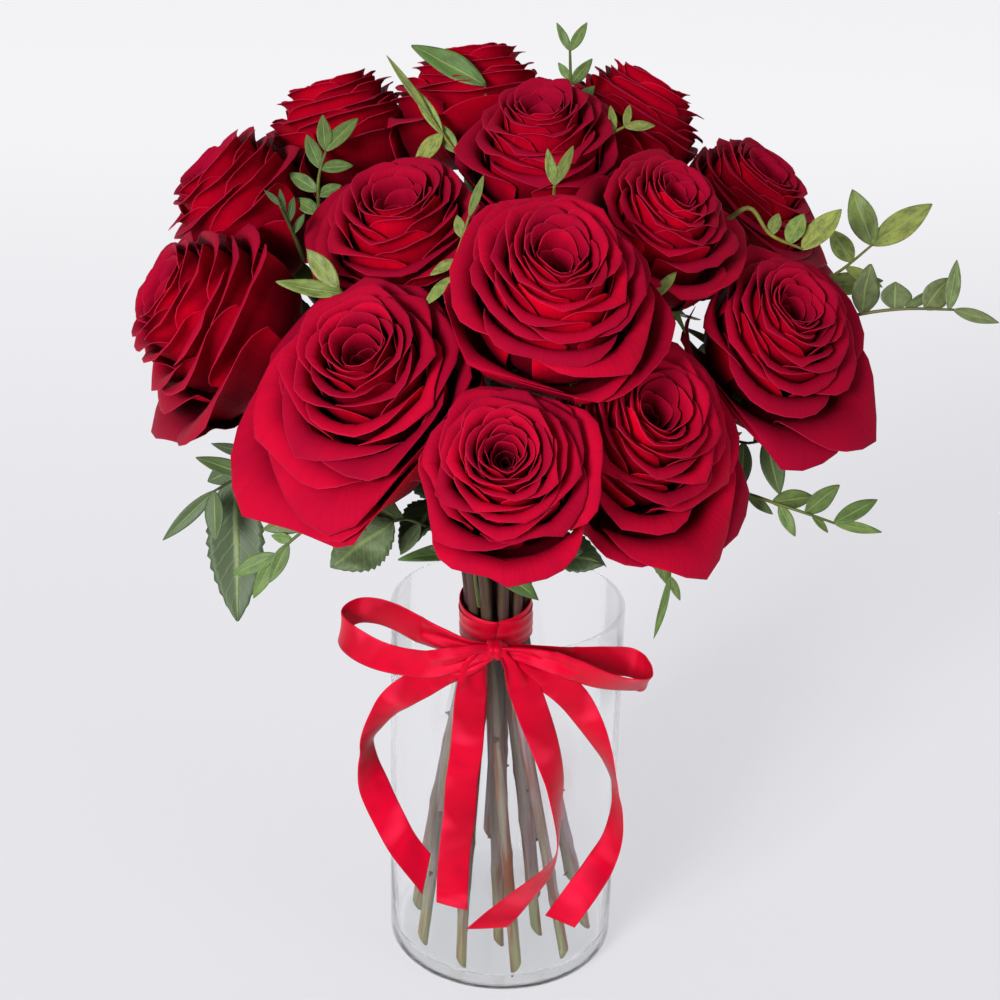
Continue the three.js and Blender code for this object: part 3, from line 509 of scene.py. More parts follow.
class Form:
    """Corners and faces gathered for one piece, with three numbers kept at each corner."""

    def __init__(self):
        self.corners, self.faces, self.flat, self.place, self.kind, self.tint = [], [], [], [], [], []
        self.size = 0

    def corners_in(self, points, place, kind, tint=(0, 0, 0)):
        points = np.asarray(points, float).reshape(-1, 3)
        start = self.size
        self.corners.append(points)
        for kept, numbers in ((self.place, place), (self.kind, kind), (self.tint, tint)):
            kept.append(np.broadcast_to(np.asarray(numbers, float), points.shape))
        self.size += len(points)
        return start

    def shell(self, grid, thickness, place, kind, tint=(0, 0, 0), thin_edge=1.0):
        """A thin closed sheet about a grid of points, rows along it and columns across.
        Both sides are cut on the same diagonals, so they never cross."""
        rows, columns, _ = grid.shape
        turn = np.cross(np.gradient(grid, axis=1), np.gradient(grid, axis=0))
        normal = turn / np.maximum(np.linalg.norm(turn, axis=2, keepdims=True), 1e-12)
        half = np.full((rows, columns, 1), thickness / 2)
        half[0], half[-1] = half[0] * thin_edge, half[-1] * thin_edge
        half[:, 0], half[:, -1] = half[:, 0] * thin_edge, half[:, -1] * thin_edge
        place = np.asarray(place, float).reshape(-1, 3)
        over, under = np.array(kind, float), np.array(kind, float)
        over[..., 1], under[..., 1] = 0.0, 1.0
        top = self.corners_in(grid + normal * half, place, over, tint)
        bottom = self.corners_in(grid - normal * half, place, under, tint)
        index = np.arange(rows * columns).reshape(rows, columns)
        a, b, c, d = index[:-1, :-1], index[:-1, 1:], index[1:, 1:], index[1:, :-1]
        halves = np.stack([a, b, c, a, c, d], axis=-1).reshape(-1, 3)
        self.faces += (halves + top).tolist() + (halves[:, ::-1] + bottom).tolist()
        self.flat += [False] * (2 * len(halves))
        loop = np.concatenate([index[0, :], index[1:, -1], index[-1, -2::-1], index[-2:0:-1, 0]])
        after = np.roll(loop, -1)
        rim = np.stack([after + top, loop + top, loop + bottom, after + bottom], axis=-1)
        self.faces += rim.tolist()
        self.flat += [True] * len(rim)

    def walls(self, index):
        """Faces between rings of corners, each ring closed on itself."""
        a, b = index[:-1], np.roll(index[:-1], -1, axis=1)
        c, d = np.roll(index[1:], -1, axis=1), index[1:]
        quads = np.stack([a, b, c, d], axis=-1).reshape(-1, 4)
        self.faces += quads.tolist()
        self.flat += [False] * len(quads)

    def rod(self, route, radii, sides, kind, first_tilt=0.0, pith=False):
        """A round rod along a route. Its first end is cut on a slant by first_tilt, and with pith
        it shows its pale middle there."""
        route = np.asarray(route, float)
        tangent = np.gradient(route, axis=0)
        tangent /= np.linalg.norm(tangent, axis=1, keepdims=True)
        side = np.cross(tangent[0], (0.0, 1.0, 0.3))
        side /= np.linalg.norm(side)
        angles = np.arange(sides) / sides * FULL_TURN
        rings = []
        for i, centre in enumerate(route):
            side = side - tangent[i] * side.dot(tangent[i])
            side /= np.linalg.norm(side)
            other = np.cross(tangent[i], side)
            ring = centre + radii[i] * (
                np.cos(angles)[:, None] * side + np.sin(angles)[:, None] * other
            )
            if i == 0 and first_tilt:
                ring = ring + np.cos(angles)[:, None] * first_tilt * radii[0] * tangent[0]
            rings.append(ring)
        count, points = len(route), np.concatenate(rings)
        none = np.zeros(count * sides)
        around, along = np.tile(np.cos(angles), count), np.repeat(np.linspace(0, 1, count), sides)
        places = np.stack([around, along, none], axis=-1)
        kinds = np.stack([none + kind, none, points[:, 2] * MM], axis=-1)
        start = self.corners_in(points, places, kinds)
        index = np.arange(count * sides).reshape(count, sides) + start
        self.walls(index)
        self.faces.append(index[-1].tolist())
        self.flat.append(True)
        if not pith:
            self.faces.append(index[0][::-1].tolist())
            self.flat.append(True)
            return
        middle = rings[0].mean(axis=0)
        inner = middle + (rings[0] - middle) * PITH_SHARE
        inset = self.corners_in(inner, (0, 0, 1), (kind, 0, inner[0, 2] * MM)) + np.arange(sides)
        quads = np.stack([index[0], inset, np.roll(inset, -1), np.roll(index[0], -1)], axis=-1)
        self.faces += quads.tolist() + [inset[::-1].tolist()]
        self.flat += [True] * (sides + 1)

    def piece(self, name, finish, node=None):
        """Makes the object, gives it its finish and lets it ride with the body."""
        mesh = bpy.data.meshes.new(name)
        mesh.from_pydata((np.concatenate(self.corners) * MM).tolist(), [], self.faces)
        for kept, numbers in (("place", self.place), ("kind", self.kind), ("tint", self.tint)):
            values = mesh.attributes.new(kept, "FLOAT_VECTOR", "POINT")
            values.data.foreach_set("vector", np.concatenate(numbers).astype(np.float32).ravel())
        mesh.polygons.foreach_set("use_smooth", [not flat for flat in self.flat])
        mesh.materials.append(finish)
        mesh.update()
        thing = bpy.data.objects.new(name, mesh)
        bpy.context.scene.collection.objects.link(thing)
        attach(thing, "root")
        if node:
            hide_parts(node)
        return thing


def unit(vector):
    vector = np.asarray(vector, float)
    return vector / np.linalg.norm(vector)


def smooth(value, low, high):
    """0 below low and 1 above high, smoothly between."""
    share = np.clip((value - low) / (high - low), 0.0, 1.0)
    return share * share * (3 - 2 * share)


def curve_through(points, per_span):
    """Places on a smooth curve through the points, per_span of them to each span."""
    points = np.asarray(points, float)
    points = np.vstack([2 * points[0] - points[1], points, 2 * points[-1] - points[-2]])
    places = []
    for i in range(1, len(points) - 2):
        p0, p1, p2, p3 = points[i - 1 : i + 3]
        d0, d1, d2 = (
            max(np.linalg.norm(b[:3] - a[:3]), 1e-6) ** 0.5
            for a, b in ((p0, p1), (p1, p2), (p2, p3))
        )
        t1 = ((p1 - p0) / d0 - (p2 - p0) / (d0 + d1) + (p2 - p1) / d1) * d1
        t2 = ((p2 - p1) / d1 - (p3 - p1) / (d1 + d2) + (p3 - p2) / d2) * d1
        last = i == len(points) - 3
        for t in np.linspace(0, 1, per_span + 1)[: None if last else -1]:
            places.append(
                p1 + t1 * t + (-3 * p1 + 3 * p2 - 2 * t1 - t2) * t * t
                + (2 * p1 - 2 * p2 + t1 + t2) * t**3
            )
    return np.array(places)


def length_of(route):
    return float(np.linalg.norm(np.diff(route, axis=0), axis=1).sum())


def at_shares(route, shares):
    """Places on a route at shares of its length."""
    steps = np.linalg.norm(np.diff(route, axis=0), axis=1)
    walked = np.concatenate([[0], np.cumsum(steps)]) / steps.sum()
    return np.stack([np.interp(shares, walked, route[:, i]) for i in range(3)], axis=-1)


def level_offset(distance, direction):
    angle = math.radians(direction)
    return np.array([distance * math.sin(angle), -distance * math.cos(angle), 0.0])


def facing(rose):
    _, lean, towards, _, _ = ROSES[rose]
    return level_offset(math.sin(math.radians(lean)), towards) + [0, 0, math.cos(math.radians(lean))]


def head_axes(rose):
    """A head's own right and up, and the way its eye faces."""
    towards, axis = math.radians(ROSES[rose][2]), facing(rose)
    right = unit([math.cos(towards), math.sin(towards), 0])
    return right, np.cross(axis, right), axis


# ---- vase


def make_vase(finish):
    """The glass as one turned body: thick floor, straight wall and a fire-polished rim."""
    low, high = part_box("vase")
    radius, top = (high.x - low.x) / 2 / MM, high.z / MM
    wall, sides = 3.0, 128
    outline = [(0, 0.9), (30, 0.7), (48, 0.2), (52.5, 0), (55.5, 0.5), (58.2, 1.9), (59.6, 4.2)]
    outline += [(60, 7), (60, 60), (60, 120), (60, 180), (60, top - 2.2)]
    outline += [
        (radius - wall / 2 + wall / 2 * math.cos(a), top - wall / 2 + wall / 2 * math.sin(a))
        for a in np.linspace(0.3, math.pi - 0.3, 7)
    ]
    outline += [(57, top - 2.2), (57, 180), (57, 120), (57, 60), (57, 13.5), (56.3, 10.6)]
    outline += [(54.4, 8.5), (51.5, 7.5), (46, 7.1), (30, 6.9), (0, 6.8)]
    form = Form()
    rings = [(r, z) for r, z in outline if r > 0]
    angles = np.arange(sides) / sides * FULL_TURN
    points = np.array([[(r * math.cos(a), r * math.sin(a), z) for a in angles] for r, z in rings])
    start = form.corners_in(points, (0, 0, 0), (0, 0, 0))
    index = np.arange(len(rings) * sides).reshape(len(rings), sides) + start
    form.walls(index)
    for ring, height, forward in ((index[0], outline[0][1], False), (index[-1], outline[-1][1], True)):
        middle = form.corners_in([(0, 0, height)], (0, 0, 0), (0, 0, 0))
        after = np.roll(ring, -1)
        fan = zip(ring, after) if forward else zip(after, ring)
        form.faces += [[int(one), int(two), middle] for one, two in fan]
        form.flat += [False] * sides
    return form.piece("glass_vase", finish, "vase")


# ---- rose heads


HEART_DEPTH = 22.0  # from a rose's eye back to the middle of its head
SOFTNESS = 3.0  # how far from a neighbour a petal begins to give way


def pressed(points, rose):
    """Petals that reach a neighbour's side are pressed back against it."""
    eye, _, _, radius, _ = ROSES[rose]
    here = np.array(eye) - HEART_DEPTH * facing(rose)
    for other, (other_eye, _, _, other_radius, _) in ROSES.items():
        there = np.array(other_eye) - HEART_DEPTH * facing(other)
        gap = np.linalg.norm(there - here)
        if other == rose or gap > radius + other_radius + 20:
            continue
        outward = (there - here) / gap
        wall = gap * radius / (radius + other_radius) - 0.4
        past = (points - here) @ outward - wall
        pushed = -SOFTNESS * np.exp(-np.maximum(past + SOFTNESS, 0) / SOFTNESS)
        squeezed = np.where(past > -SOFTNESS, pushed, past)
        points = points + (squeezed - past)[..., None] * outward
    return points


ROWS = np.array([0, 0.22, 0.42, 0.57, 0.69, 0.78, 0.85, 0.9, 0.94, 0.967, 0.986, 1.0])
COLUMNS = np.array([-1, -0.982, -0.93, -0.83, -0.69, -0.53, -0.36, -0.18])
COLUMNS = np.concatenate([COLUMNS, [0], -COLUMNS[::-1]])


def petal(radius, share, turn, dice, flare, spread, sunk, nod):
    """One petal about +Z with the eye at the origin, share 0 at the heart and 1 or more outermost.
    It rises from its base to its shoulder, at the radius ring, and rolls outwards from there. A
    flared petal reaches further and ends in a point; spread widens the head's low side."""
    size = radius / 36.0
    guard = smooth(share, 0.87, 0.98)
    ring = radius * (0.06 + 0.8 * share**1.02) * (1 + 0.03 * guard + 0.08 * (flare > 0))
    shoulder = size * (
        -13 + 15.5 * smooth(share, 0.0, 0.26) - 17 * smooth(share, 0.4, 1.0) - 6 * guard
        - (6 + 3 * flare) * (flare > 0) - 40 * max(share - 1, 0)
        + sunk * smooth(share, 0.1, 0.4) * (1 - 0.5 * smooth(share, 0.6, 1.0))
    ) + dice.uniform(-0.7, 0.7)
    base = max(HIP_TOP, shoulder - 26 - 40 * share)
    foot = 2.5 + 3.5 * share
    if base > HIP_TOP + 1:
        foot = 2.5 + (ring - 2.5) * 0.55
    rise = np.linspace(0, 1, 28)
    body_r = foot + (ring - foot) * np.sin(math.pi / 2 * rise**0.55)
    body_z = base + (shoulder - base) * rise
    bend = math.radians(np.interp(share, [0, 0.2, 0.5, 0.8, 1], [12, 42, 84, 108, 122]))
    bend *= dice.uniform(0.85, 1.15)
    reach = radius * (0.05 + 0.24 * share**1.1) * dice.uniform(0.9, 1.15)
    reach *= 1 + 0.45 * guard + flare
    bends = bend * np.linspace(0, 1, 14)[1:]
    roll_r = ring + reach * (1 - np.cos(bends)) / bend
    roll_z = shoulder + reach * np.sin(bends) / bend
    profile = np.stack([np.append(body_r, roll_r), np.append(body_z, roll_z)], axis=-1)
    walked = np.concatenate([[0], np.cumsum(np.linalg.norm(np.diff(profile, axis=0), axis=1))])

    half = math.radians(np.interp(share, [0, 0.1, 0.3, 1.0], [150, 100, 72, 60]))
    half *= 1 - 0.2 * min(flare, 1)
    u = COLUMNS[None, :]
    row = ROWS[:, None]
    top = 1 - 0.15 * np.abs(u) ** 4 - 0.05 * np.abs(u) ** 2
    top = top + dice.uniform(0.0, 0.03) * smooth(share, 0.35, 0.8) * np.exp(-((u / 0.13) ** 2))
    top = top + 0.012 * np.sin(u * 7 + dice.uniform(0, 6)) * (0.4 + share)
    top = top + flare * (0.12 * np.exp(-((u / 0.22) ** 2)) - 0.05)
    walk = walked[-1] * np.minimum(row * top, 1.04)
    r = np.interp(walk, walked, profile[:, 0])
    z = np.interp(walk, walked, profile[:, 1])
    over = np.maximum(walk - walked[-1], 0)
    r, z = r + over * math.sin(bend), z + over * math.cos(bend)

    angle = u * half * (0.82 + 0.18 * row) + 0 * r
    corner = math.radians(27)
    chord = math.cos(corner) / np.cos(corner - np.minimum(np.abs(angle), 2 * corner))
    flatness = dice.uniform(0.1, 0.62) * smooth(share, 0.12, 0.6)
    flatness = 0.3 if flare else flatness
    r = r * (1 - flatness * row**2 * (1 - chord))
    ruffle = 0.25 + 0.85 * share + 0.8 * guard
    r = r + ruffle * row**5 * np.sin(angle * 4.5 + dice.uniform(0, 6))
    z = z + 0.8 * ruffle * row**5 * np.sin(angle * 3.1 + dice.uniform(0, 6))
    r = r + (0.5 - 0.35 * share) * u * (1.2 if share < 0.15 else 0.6)
    r = np.maximum(r, 0.25)
    angle = turn + angle
    low_side = np.clip(-np.sin(angle), 0, 1) ** 1.3 * spread * smooth(share, 0.25, 1.0) * row**2
    r, z = r * (1 + low_side), z - 30 * low_side + nod * r * np.sin(angle) * row
    drift, drift_way = 1.6 * (1 - share), 2.1 * size + turn * 0.02
    x = r * np.cos(angle) + drift * math.cos(drift_way)
    y = r * np.sin(angle) + drift * math.sin(drift_way)
    grid = np.stack([x, y, z], axis=-1)
    # rim marks the petal's edges for their painted highlight.
    rim = np.zeros_like(r)
    rim[-1], rim[:, 0], rim[:, -1] = 1, 1, 1
    # depth, 1 at the base and 0 at the rim, sets the painted shade towards the base.
    depth = 1 - np.clip(row + 0 * r, 0, 1)
    place = np.stack([u + 0 * r, row + 0 * r, rim], axis=-1)
    return grid, place, depth


def make_head(rose, finish):
    """All the petals of one rose, from the rolled heart out to the guard petals."""
    eye, _, _, radius, _ = ROSES[rose]
    dice = random.Random("petals " + rose)
    right, up, axis = head_axes(rose)
    form = Form()
    start = dice.uniform(0, FULL_TURN)
    # Painted light: heads nearer the front get lighter petals, as if more of the light falls on them.
    painted_front_light = 0.3 + 0.7 * smooth(-eye[1], 70, 185)
    spread, fullness, sunk, nod, flared = HABITS.get(rose, PLAIN_HABIT)
    turns = [
        (i / (PETALS - 1), start + i * GOLDEN_TURN + dice.uniform(-0.12, 0.12), 0)
        for i in range(PETALS)
    ]
    turns += [(1.04 + 0.06 * i, math.radians(side), flare) for i, (side, flare) in enumerate(flared)]
    for share, turn, flare in turns:
        grid, place, depth = petal(radius * fullness, share, turn, dice, flare, spread, sunk, nod)
        world = np.array(eye) + grid[..., :1] * right + grid[..., 1:2] * up + grid[..., 2:] * axis
        # Painted shade in the heart: its petals get a darker tone and more depth, which darkens them
        # further.
        tone = dice.uniform(0.15, 1.0) * (0.35 + 0.65 * smooth(share, 0.0, 0.3)) * painted_front_light
        depth = depth + 0.45 * (1 - smooth(share, 0.0, 0.16))
        kind = np.stack([np.full_like(depth, tone), depth * 0, depth], axis=-1)
        form.shell(pressed(world, rose), PETAL_THICKNESS, place, kind.reshape(-1, 3), thin_edge=0.6)
    return form.piece(f"petals_{rose}", finish, f"bloom_{rose}")


def make_calyx(rose, finish):
    """The green hip under a head, and its five sepals turned back from the petals."""
    eye = np.array(ROSES[rose][0])
    dice = random.Random("calyx " + rose)
    right, up, axis = head_axes(rose)
    form = Form()
    heights = np.array([HIP_END, -56.4, -54.4, -51.5, -49.0, -47.0, -45.6])
    radii = [3.3, 4.6, 6.0, 6.5, 6.0, 5.6, 5.0]
    form.rod(eye + heights[:, None] * axis, radii, 16, 0.5)
    for i in range(5):
        angle = i * FULL_TURN / 5 + dice.uniform(-0.2, 0.2)
        out = math.cos(angle) * right + math.sin(angle) * up
        length, droop = dice.uniform(22, 30), dice.uniform(0.5, 1.5)
        t = np.linspace(0, 1, 9)
        bend = 1.15 + droop * t
        middle = eye + (HIP_TOP - 0.2) * axis + 5.4 * out
        steps = length / 8 * (np.sin(bend)[:, None] * out + np.cos(bend)[:, None] * axis)
        middle = middle + np.vstack([np.zeros(3), np.cumsum(steps[:-1], axis=0)])
        side = unit(np.cross(axis, out))
        width = 3.6 * np.sin(math.pi * (0.18 + 0.8 * t)) ** 0.9 * (1 - 0.55 * t) + 0.15
        u = np.linspace(-1, 1, 5)
        grid = (middle[:, None] + (width[:, None] * u)[..., None] * side
                + (0.18 * width[:, None] * u**2)[..., None] * axis)
        place = np.stack(np.broadcast_arrays(u[None, :], t[:, None], 0.0), axis=-1)
        form.shell(grid, SEPAL_THICKNESS, place, (0.5, 0, 0))
    return form.piece(f"calyx_{rose}", finish)


# ---- stems


def below_tie(spot, height):
    """Where a stem that is tied at that spot stands at a lower height, splayed and spiralled."""
    drop = TIE_CENTRE[2] - height
    centre = TIE_CENTRE + (FOOT_CENTRE - TIE_CENTRE) * drop / (TIE_CENTRE[2] - FOOT_CENTRE[2])
    grow, turn = 1 + SPLAY * drop, SPIRAL * drop
    return np.array([
        centre[0] + grow * spot[0] - turn * spot[1], centre[1] + grow * spot[1] + turn * spot[0], height
    ])


def stem_route(rose):
    eye, _, _, _, (ring, direction) = ROSES[rose]
    spot = level_offset(RINGS[ring], direction)
    on_floor = below_tie(spot, FOOT_CENTRE[2])
    foot = below_tie(spot, FOOT_CENTRE[2] + 1.5 + SHORT_AT_BACK * max(0.0, on_floor[1]))
    tied = below_tie(spot, TIE_CENTRE[2])
    axis, upward = facing(rose), unit(TIE_CENTRE - FOOT_CENTRE)
    hip = np.array(eye) + (HIP_END - 0.6) * axis
    bend = BEND * np.linalg.norm(hip - tied)
    t = np.linspace(0, 1, 7)[:, None]
    second, third = tied + upward * bend, hip - axis * bend
    upper = (tied * (1 - t) ** 3 + 3 * second * t * (1 - t) ** 2
             + 3 * third * t * t * (1 - t) + hip * t**3)
    return curve_through(np.vstack([foot, (foot + tied) / 2, upper]), 12)


def make_stem(rose, finish):
    """A rose stem with its joints, its thorns and its slanting cut end."""
    dice = random.Random("stem " + rose)
    route = stem_route(rose)
    shares = np.linspace(0, 1, 64)
    radii = STEM_RADIUS + 0.15 * np.sin(shares * 9 + dice.uniform(0, 6))
    for _ in range(3):
        joint = dice.uniform(0.08, 0.36)
        radii += 0.55 * np.exp(-(((shares - joint) / 0.012) ** 2))
    radii = radii * np.interp(shares, [0, 0.5, 1], [1.04, 1.0, 0.9])
    form = Form()
    tone = dice.random()
    tilt = dice.choice([-1.3, 1.1, 1.5])
    form.rod(at_shares(route, shares), radii, 12, tone, first_tilt=tilt, pith=True)
    for _ in range(7):
        share = dice.uniform(0.06, 0.92)
        spot, after = at_shares(route, [share, share + 0.01])
        if THORNLESS[0] < spot[2] < THORNLESS[1]:
            continue
        along = unit(after - spot)
        aside = (dice.uniform(-1, 1), dice.uniform(-1, 1), dice.uniform(-0.2, 0.2))
        out = unit(np.cross(along, aside))
        thorn_height, droop = dice.uniform(2.2, 4.0), dice.uniform(0.6, 1.8)
        steps = np.array([0.0, 0.4, 0.75, 1.0])
        middle = (spot + out * (2.2 + thorn_height * steps)[:, None]
                  - along * (droop * steps**2)[:, None])
        form.rod(middle, [1.7, 0.95, 0.5, 0.12], 6, tone)
        form.kind[-1] = form.kind[-1] + np.array([0, 1, 0])
    return form.piece(f"stalk_{rose}", finish, f"stem_{rose}")


# ---- foliage


def leaf_blade(form, base, along, across, length, width, look, dice, toothed):
    """One leaf: pointed blade, folded a little along its rib and curved along its length."""
    tint, spots, veins = look
    face = np.cross(along, across)
    t = np.array([0, 0.05, 0.12, 0.2, 0.3, 0.4, 0.5, 0.6, 0.7, 0.79, 0.87, 0.94, 1.0])
    if toothed:
        t = np.linspace(0, 1, 37)
    outline = np.sin(math.pi * t**0.92) ** 0.78 * (1 - 0.12 * t)
    outline = np.maximum(outline, 0.035)
    if toothed:
        outline = outline * (1 + 0.1 * ((np.arange(len(t)) % 3) / 2 - 0.5))
    u = np.linspace(-1, 1, 9)
    curl = dice.uniform(-0.35, 0.5)
    fold = dice.uniform(0.12, 0.3)
    wave = dice.uniform(0.0, 0.05) * (2 if toothed else 1)
    half = outline[:, None] * u * width / 2
    lift = np.abs(half) * fold - curl * (t[:, None] ** 2) * length * 0.35
    lift = lift + wave * width * np.sin(t[:, None] * 9 + u * 2)
    reach = (t[:, None] * 1.02 - 0.02) * length + 0 * u
    grid = (np.asarray(base) + reach[..., None] * along + half[..., None] * across
            + lift[..., None] * face)
    place = np.stack(np.broadcast_arrays(u[None, :], t[:, None], veins), axis=-1)
    shade = dice.uniform(0.75, 1.3)
    warm = dice.uniform(0.85, 1.2)
    colour = (tint[0] * shade * warm, tint[1] * shade, tint[2] * shade)
    form.shell(grid, LEAF_THICKNESS, place, (dice.random(), 0, spots), colour, thin_edge=0.7)


def make_sprig(name, finish):
    """A twig with its leaves; the sprigs in the gaps between heads stand forward a little."""
    kind, face, twig, leaves = SPRIGS[name]
    red, green, blue = LEAF_TINTS[kind][0]
    dice = random.Random("sprig " + name)
    face = unit(face)
    route = curve_through(twig, 12)
    if name.startswith("gap_"):
        route = route + 6.0 * face
    form = Form()
    shares = np.linspace(0, 1, 22)
    form.rod(at_shares(route, shares), np.interp(shares, [0, 1], [1.15, 0.55]), 8, 0.5)
    form.place[-1] = form.place[-1] * np.array([0, 1, 0]) + np.array([0.5, 0, 0])
    bark = (red * 0.9 + 0.02, green * 0.75, blue * 0.7)
    form.tint[-1] = np.broadcast_to(bark, form.tint[-1].shape)
    for at, turn, length, width in leaves:
        near = min(at, 0.995)
        here, after = at_shares(route, [near - 0.005, near + 0.005])
        along = unit(after - here)
        along = unit(along - face * along.dot(face))
        side = np.cross(face, along)
        angle = math.radians(turn)
        along = along * math.cos(angle) + side * math.sin(angle)
        across = np.cross(face, along)
        roll = dice.uniform(-0.35, 0.35)
        tilted = unit(across * math.cos(roll) + face * math.sin(roll))
        base = at_shares(route, [at])[0]
        toothed = kind in ("rose", "underside") and width > 15 or (name == "drop" and length > 30)
        leaf_blade(form, base, along, tilted, length, width, LEAF_TINTS[kind], dice, toothed)
    return form.piece(f"foliage_{name}", finish, f"sprig_{name}")


# Each leaf on a rose's stem: its share of the way up, and the side it points to.
STEM_LEAVES = [
    (0.75, 60), (0.79, 190), (0.83, 310), (0.87, 90), (0.91, 215), (0.95, 335), (0.98, 120),
]


def make_shade_filling_stem_leaves(rose, finish):
    """Dark toothed leaves on the stem close under the head: real leaves in part, and in part dark fill
    standing in for the shade in the gaps between the heads.
    """
    dice = random.Random("stem leaves " + rose)
    route = stem_route(rose)
    form = Form()
    for share, side in STEM_LEAVES:
        spot, after = at_shares(route, [share, share + 0.01])
        stem_way = unit(after - spot)
        out = level_offset(1.0, side + dice.uniform(-30, 30))
        out = unit(out - stem_way * out.dot(stem_way))
        along = unit(out * 0.85 + stem_way * 0.5)
        across = unit(np.cross(stem_way, along))
        length, width = dice.uniform(30, 38), dice.uniform(17, 22)
        base = spot + out * 2.4
        leaf_blade(form, base, along, across, length, width, LEAF_TINTS["rose"], dice, True)
    return form.piece(f"leaves_{rose}", finish)


# ---- ribbon


def ribbon_place(u, t, length, edge=None):
    """Across the ribbon, along it in widths, and on its woven edge."""
    edge = np.where(np.abs(u) > 0.93, 1.0, 0.0) if edge is None else edge
    return np.stack(np.broadcast_arrays(u, t[:, None] * length / RIBBON_WIDTH, edge), axis=-1)


PLEATS = 1.5  # across the ribbon where it is drawn together


def strip_grid(middle, lie, widths, seed, slant):
    """A ribbon's surface: full width where it is free, folded where it is drawn together. Its far
    end is cut on a slant."""
    u = np.linspace(-1, 1, 17)
    along = np.gradient(middle, axis=0)
    along /= np.linalg.norm(along, axis=1, keepdims=True)
    across = lie - along * (lie * along).sum(axis=1, keepdims=True)
    across /= np.linalg.norm(across, axis=1, keepdims=True)
    face = np.cross(along, across)
    spare = np.clip(1 - (widths / RIBBON_WIDTH) ** 2, 0, 1) ** 0.5
    depth = 0.3 * spare * widths / PLEATS
    t = np.linspace(0, 1, len(middle))
    ripple = depth[:, None] * np.sin(u * math.pi * PLEATS + seed + 0.8 * np.sin(t[:, None] * 5))
    ripple = ripple + 0.35 * (u**2 - 0.4) + 0.25 * np.sin(t[:, None] * 21 + seed) * u
    half = widths[:, None] * u / 2
    grid = middle[:, None] + half[..., None] * across[:, None] + ripple[..., None] * face[:, None]
    cut = slant * np.clip((t - 0.8) / 0.2, 0, 1)[:, None] * u
    return grid + cut[..., None] * along[:, None], ribbon_place(u, t, length_of(middle))


def make_strip(name, rows, finish, node, seed, slant=0.0):
    """One loop or end of the ribbon, smooth between the places in its table."""
    table = np.array([row if len(row) == 7 else (*row, RIBBON_WIDTH) for row in rows], float)
    middle = curve_through(table[:, :3], 12)
    between = np.linspace(0, len(rows) - 1, len(middle))
    lies = np.array([unit(row[3:6]) * row[6] for row in table])
    lies = np.stack([np.interp(between, np.arange(len(rows)), lies[:, i]) for i in range(3)], axis=-1)
    for _ in range(4):
        lies[1:-1] = (lies[:-2] + 2 * lies[1:-1] + lies[2:]) / 4
    widths = np.interp(between, np.arange(len(rows)), table[:, 6])
    grid, place = strip_grid(middle, lies, widths, seed, slant)
    form = Form()
    form.shell(grid, STRIP_THICKNESS, place, (0.5, 0, 0), thin_edge=0.8)
    strip = form.piece(name, finish, node)


def make_band(finish):
    """Two turns of ribbon about the stems, crossing at the front under the knot."""
    axis = unit(TIE_CENTRE - FOOT_CENTRE)
    front = unit(np.array([0, -1, 0]) - axis * -axis[1])
    side = np.cross(axis, front)
    t = np.linspace(0, 1, 140)
    angle = t * 2 * FULL_TURN
    u = np.linspace(-1, 1, 25)
    height = 3.4 * np.sin(angle / 2)
    lean = 0.16 * np.cos(angle / 2)
    crease = 0.32 * np.sin(u * 9 + 1.1 * np.sin(angle[:, None] * 1.5))
    crease = crease + 0.25 * np.sin(u * 4 + angle[:, None])
    radius = 17.35 + 0.75 * t[:, None] + 0.5 * crease
    swing = angle[:, None] + lean[:, None] * u * 0.5
    out = np.cos(swing)[..., None] * front + np.sin(swing)[..., None] * side
    rise = height[:, None] + u * 7.6
    grid = TIE_CENTRE + radius[..., None] * out + rise[..., None] * axis
    length = length_of(grid[:, 12])
    form = Form()
    form.shell(grid, BAND_THICKNESS, ribbon_place(u, t, length), (0.5, 0, 0))
    band = form.piece("ribbon_band", finish, "ribbon_bow")


def make_knot(finish):
    """The knot: the ribbon drawn over itself once, gathered and puffed."""
    t = np.linspace(0, 1, 60)
    angle = t * FULL_TURN * 0.98 + 2.6
    u = np.linspace(-1, 1, 25)
    puff = 1 - 0.42 * np.abs(u) ** 2.6
    crease = 0.35 * np.sin(u * 8 + 1.5 * np.sin(angle[:, None])) * (1 - u**4)
    y = -np.cos(angle)[:, None] * (5.2 * puff + crease)
    z = np.sin(angle)[:, None] * (4.7 * puff + crease)
    x = 5.2 * u + 0 * y
    tilt = math.radians(-14)
    grid = KNOT_CENTRE + np.stack(
        [x * math.cos(tilt) - z * math.sin(tilt), y, x * math.sin(tilt) + z * math.cos(tilt)], axis=-1
    )
    length = length_of(grid[:, 12])
    form = Form()
    form.shell(grid, KNOT_THICKNESS, ribbon_place(u, t, length, edge=0.0), (0.5, 0, 0))
    knot = form.piece("ribbon_knot", finish, "ribbon_bow")


# ---- studio


CAMERA_PLACE = np.array([-5.39, -889.63, 626.97])
CAMERA_PITCH = 22.69  # degrees below level
CAMERA_ROLL = 1.348
CAMERA_LENS = 69.36


def put(thing, place, right, up, back):
    """Sets a thing in the scene by its place in metres and its own right, up and back."""
    turned = np.eye(4)
    turned[:3] = np.stack([right, up, back, place], axis=-1)
    thing.matrix_world = Matrix(turned.tolist())
    bpy.context.scene.collection.objects.link(thing)


def softbox(name, place, aim, size, power):
    """A square lamp of that size in metres, aimed at a point."""
    lamp = bpy.data.lights.new(name, "AREA")
    lamp.shape, lamp.size, lamp.energy = "SQUARE", size, power
    back = unit(np.array(place) - np.array(aim))
    right = unit(np.cross((0, 0, 1), back))
    put(bpy.data.objects.new(name, lamp), place, right, np.cross(back, right), back)


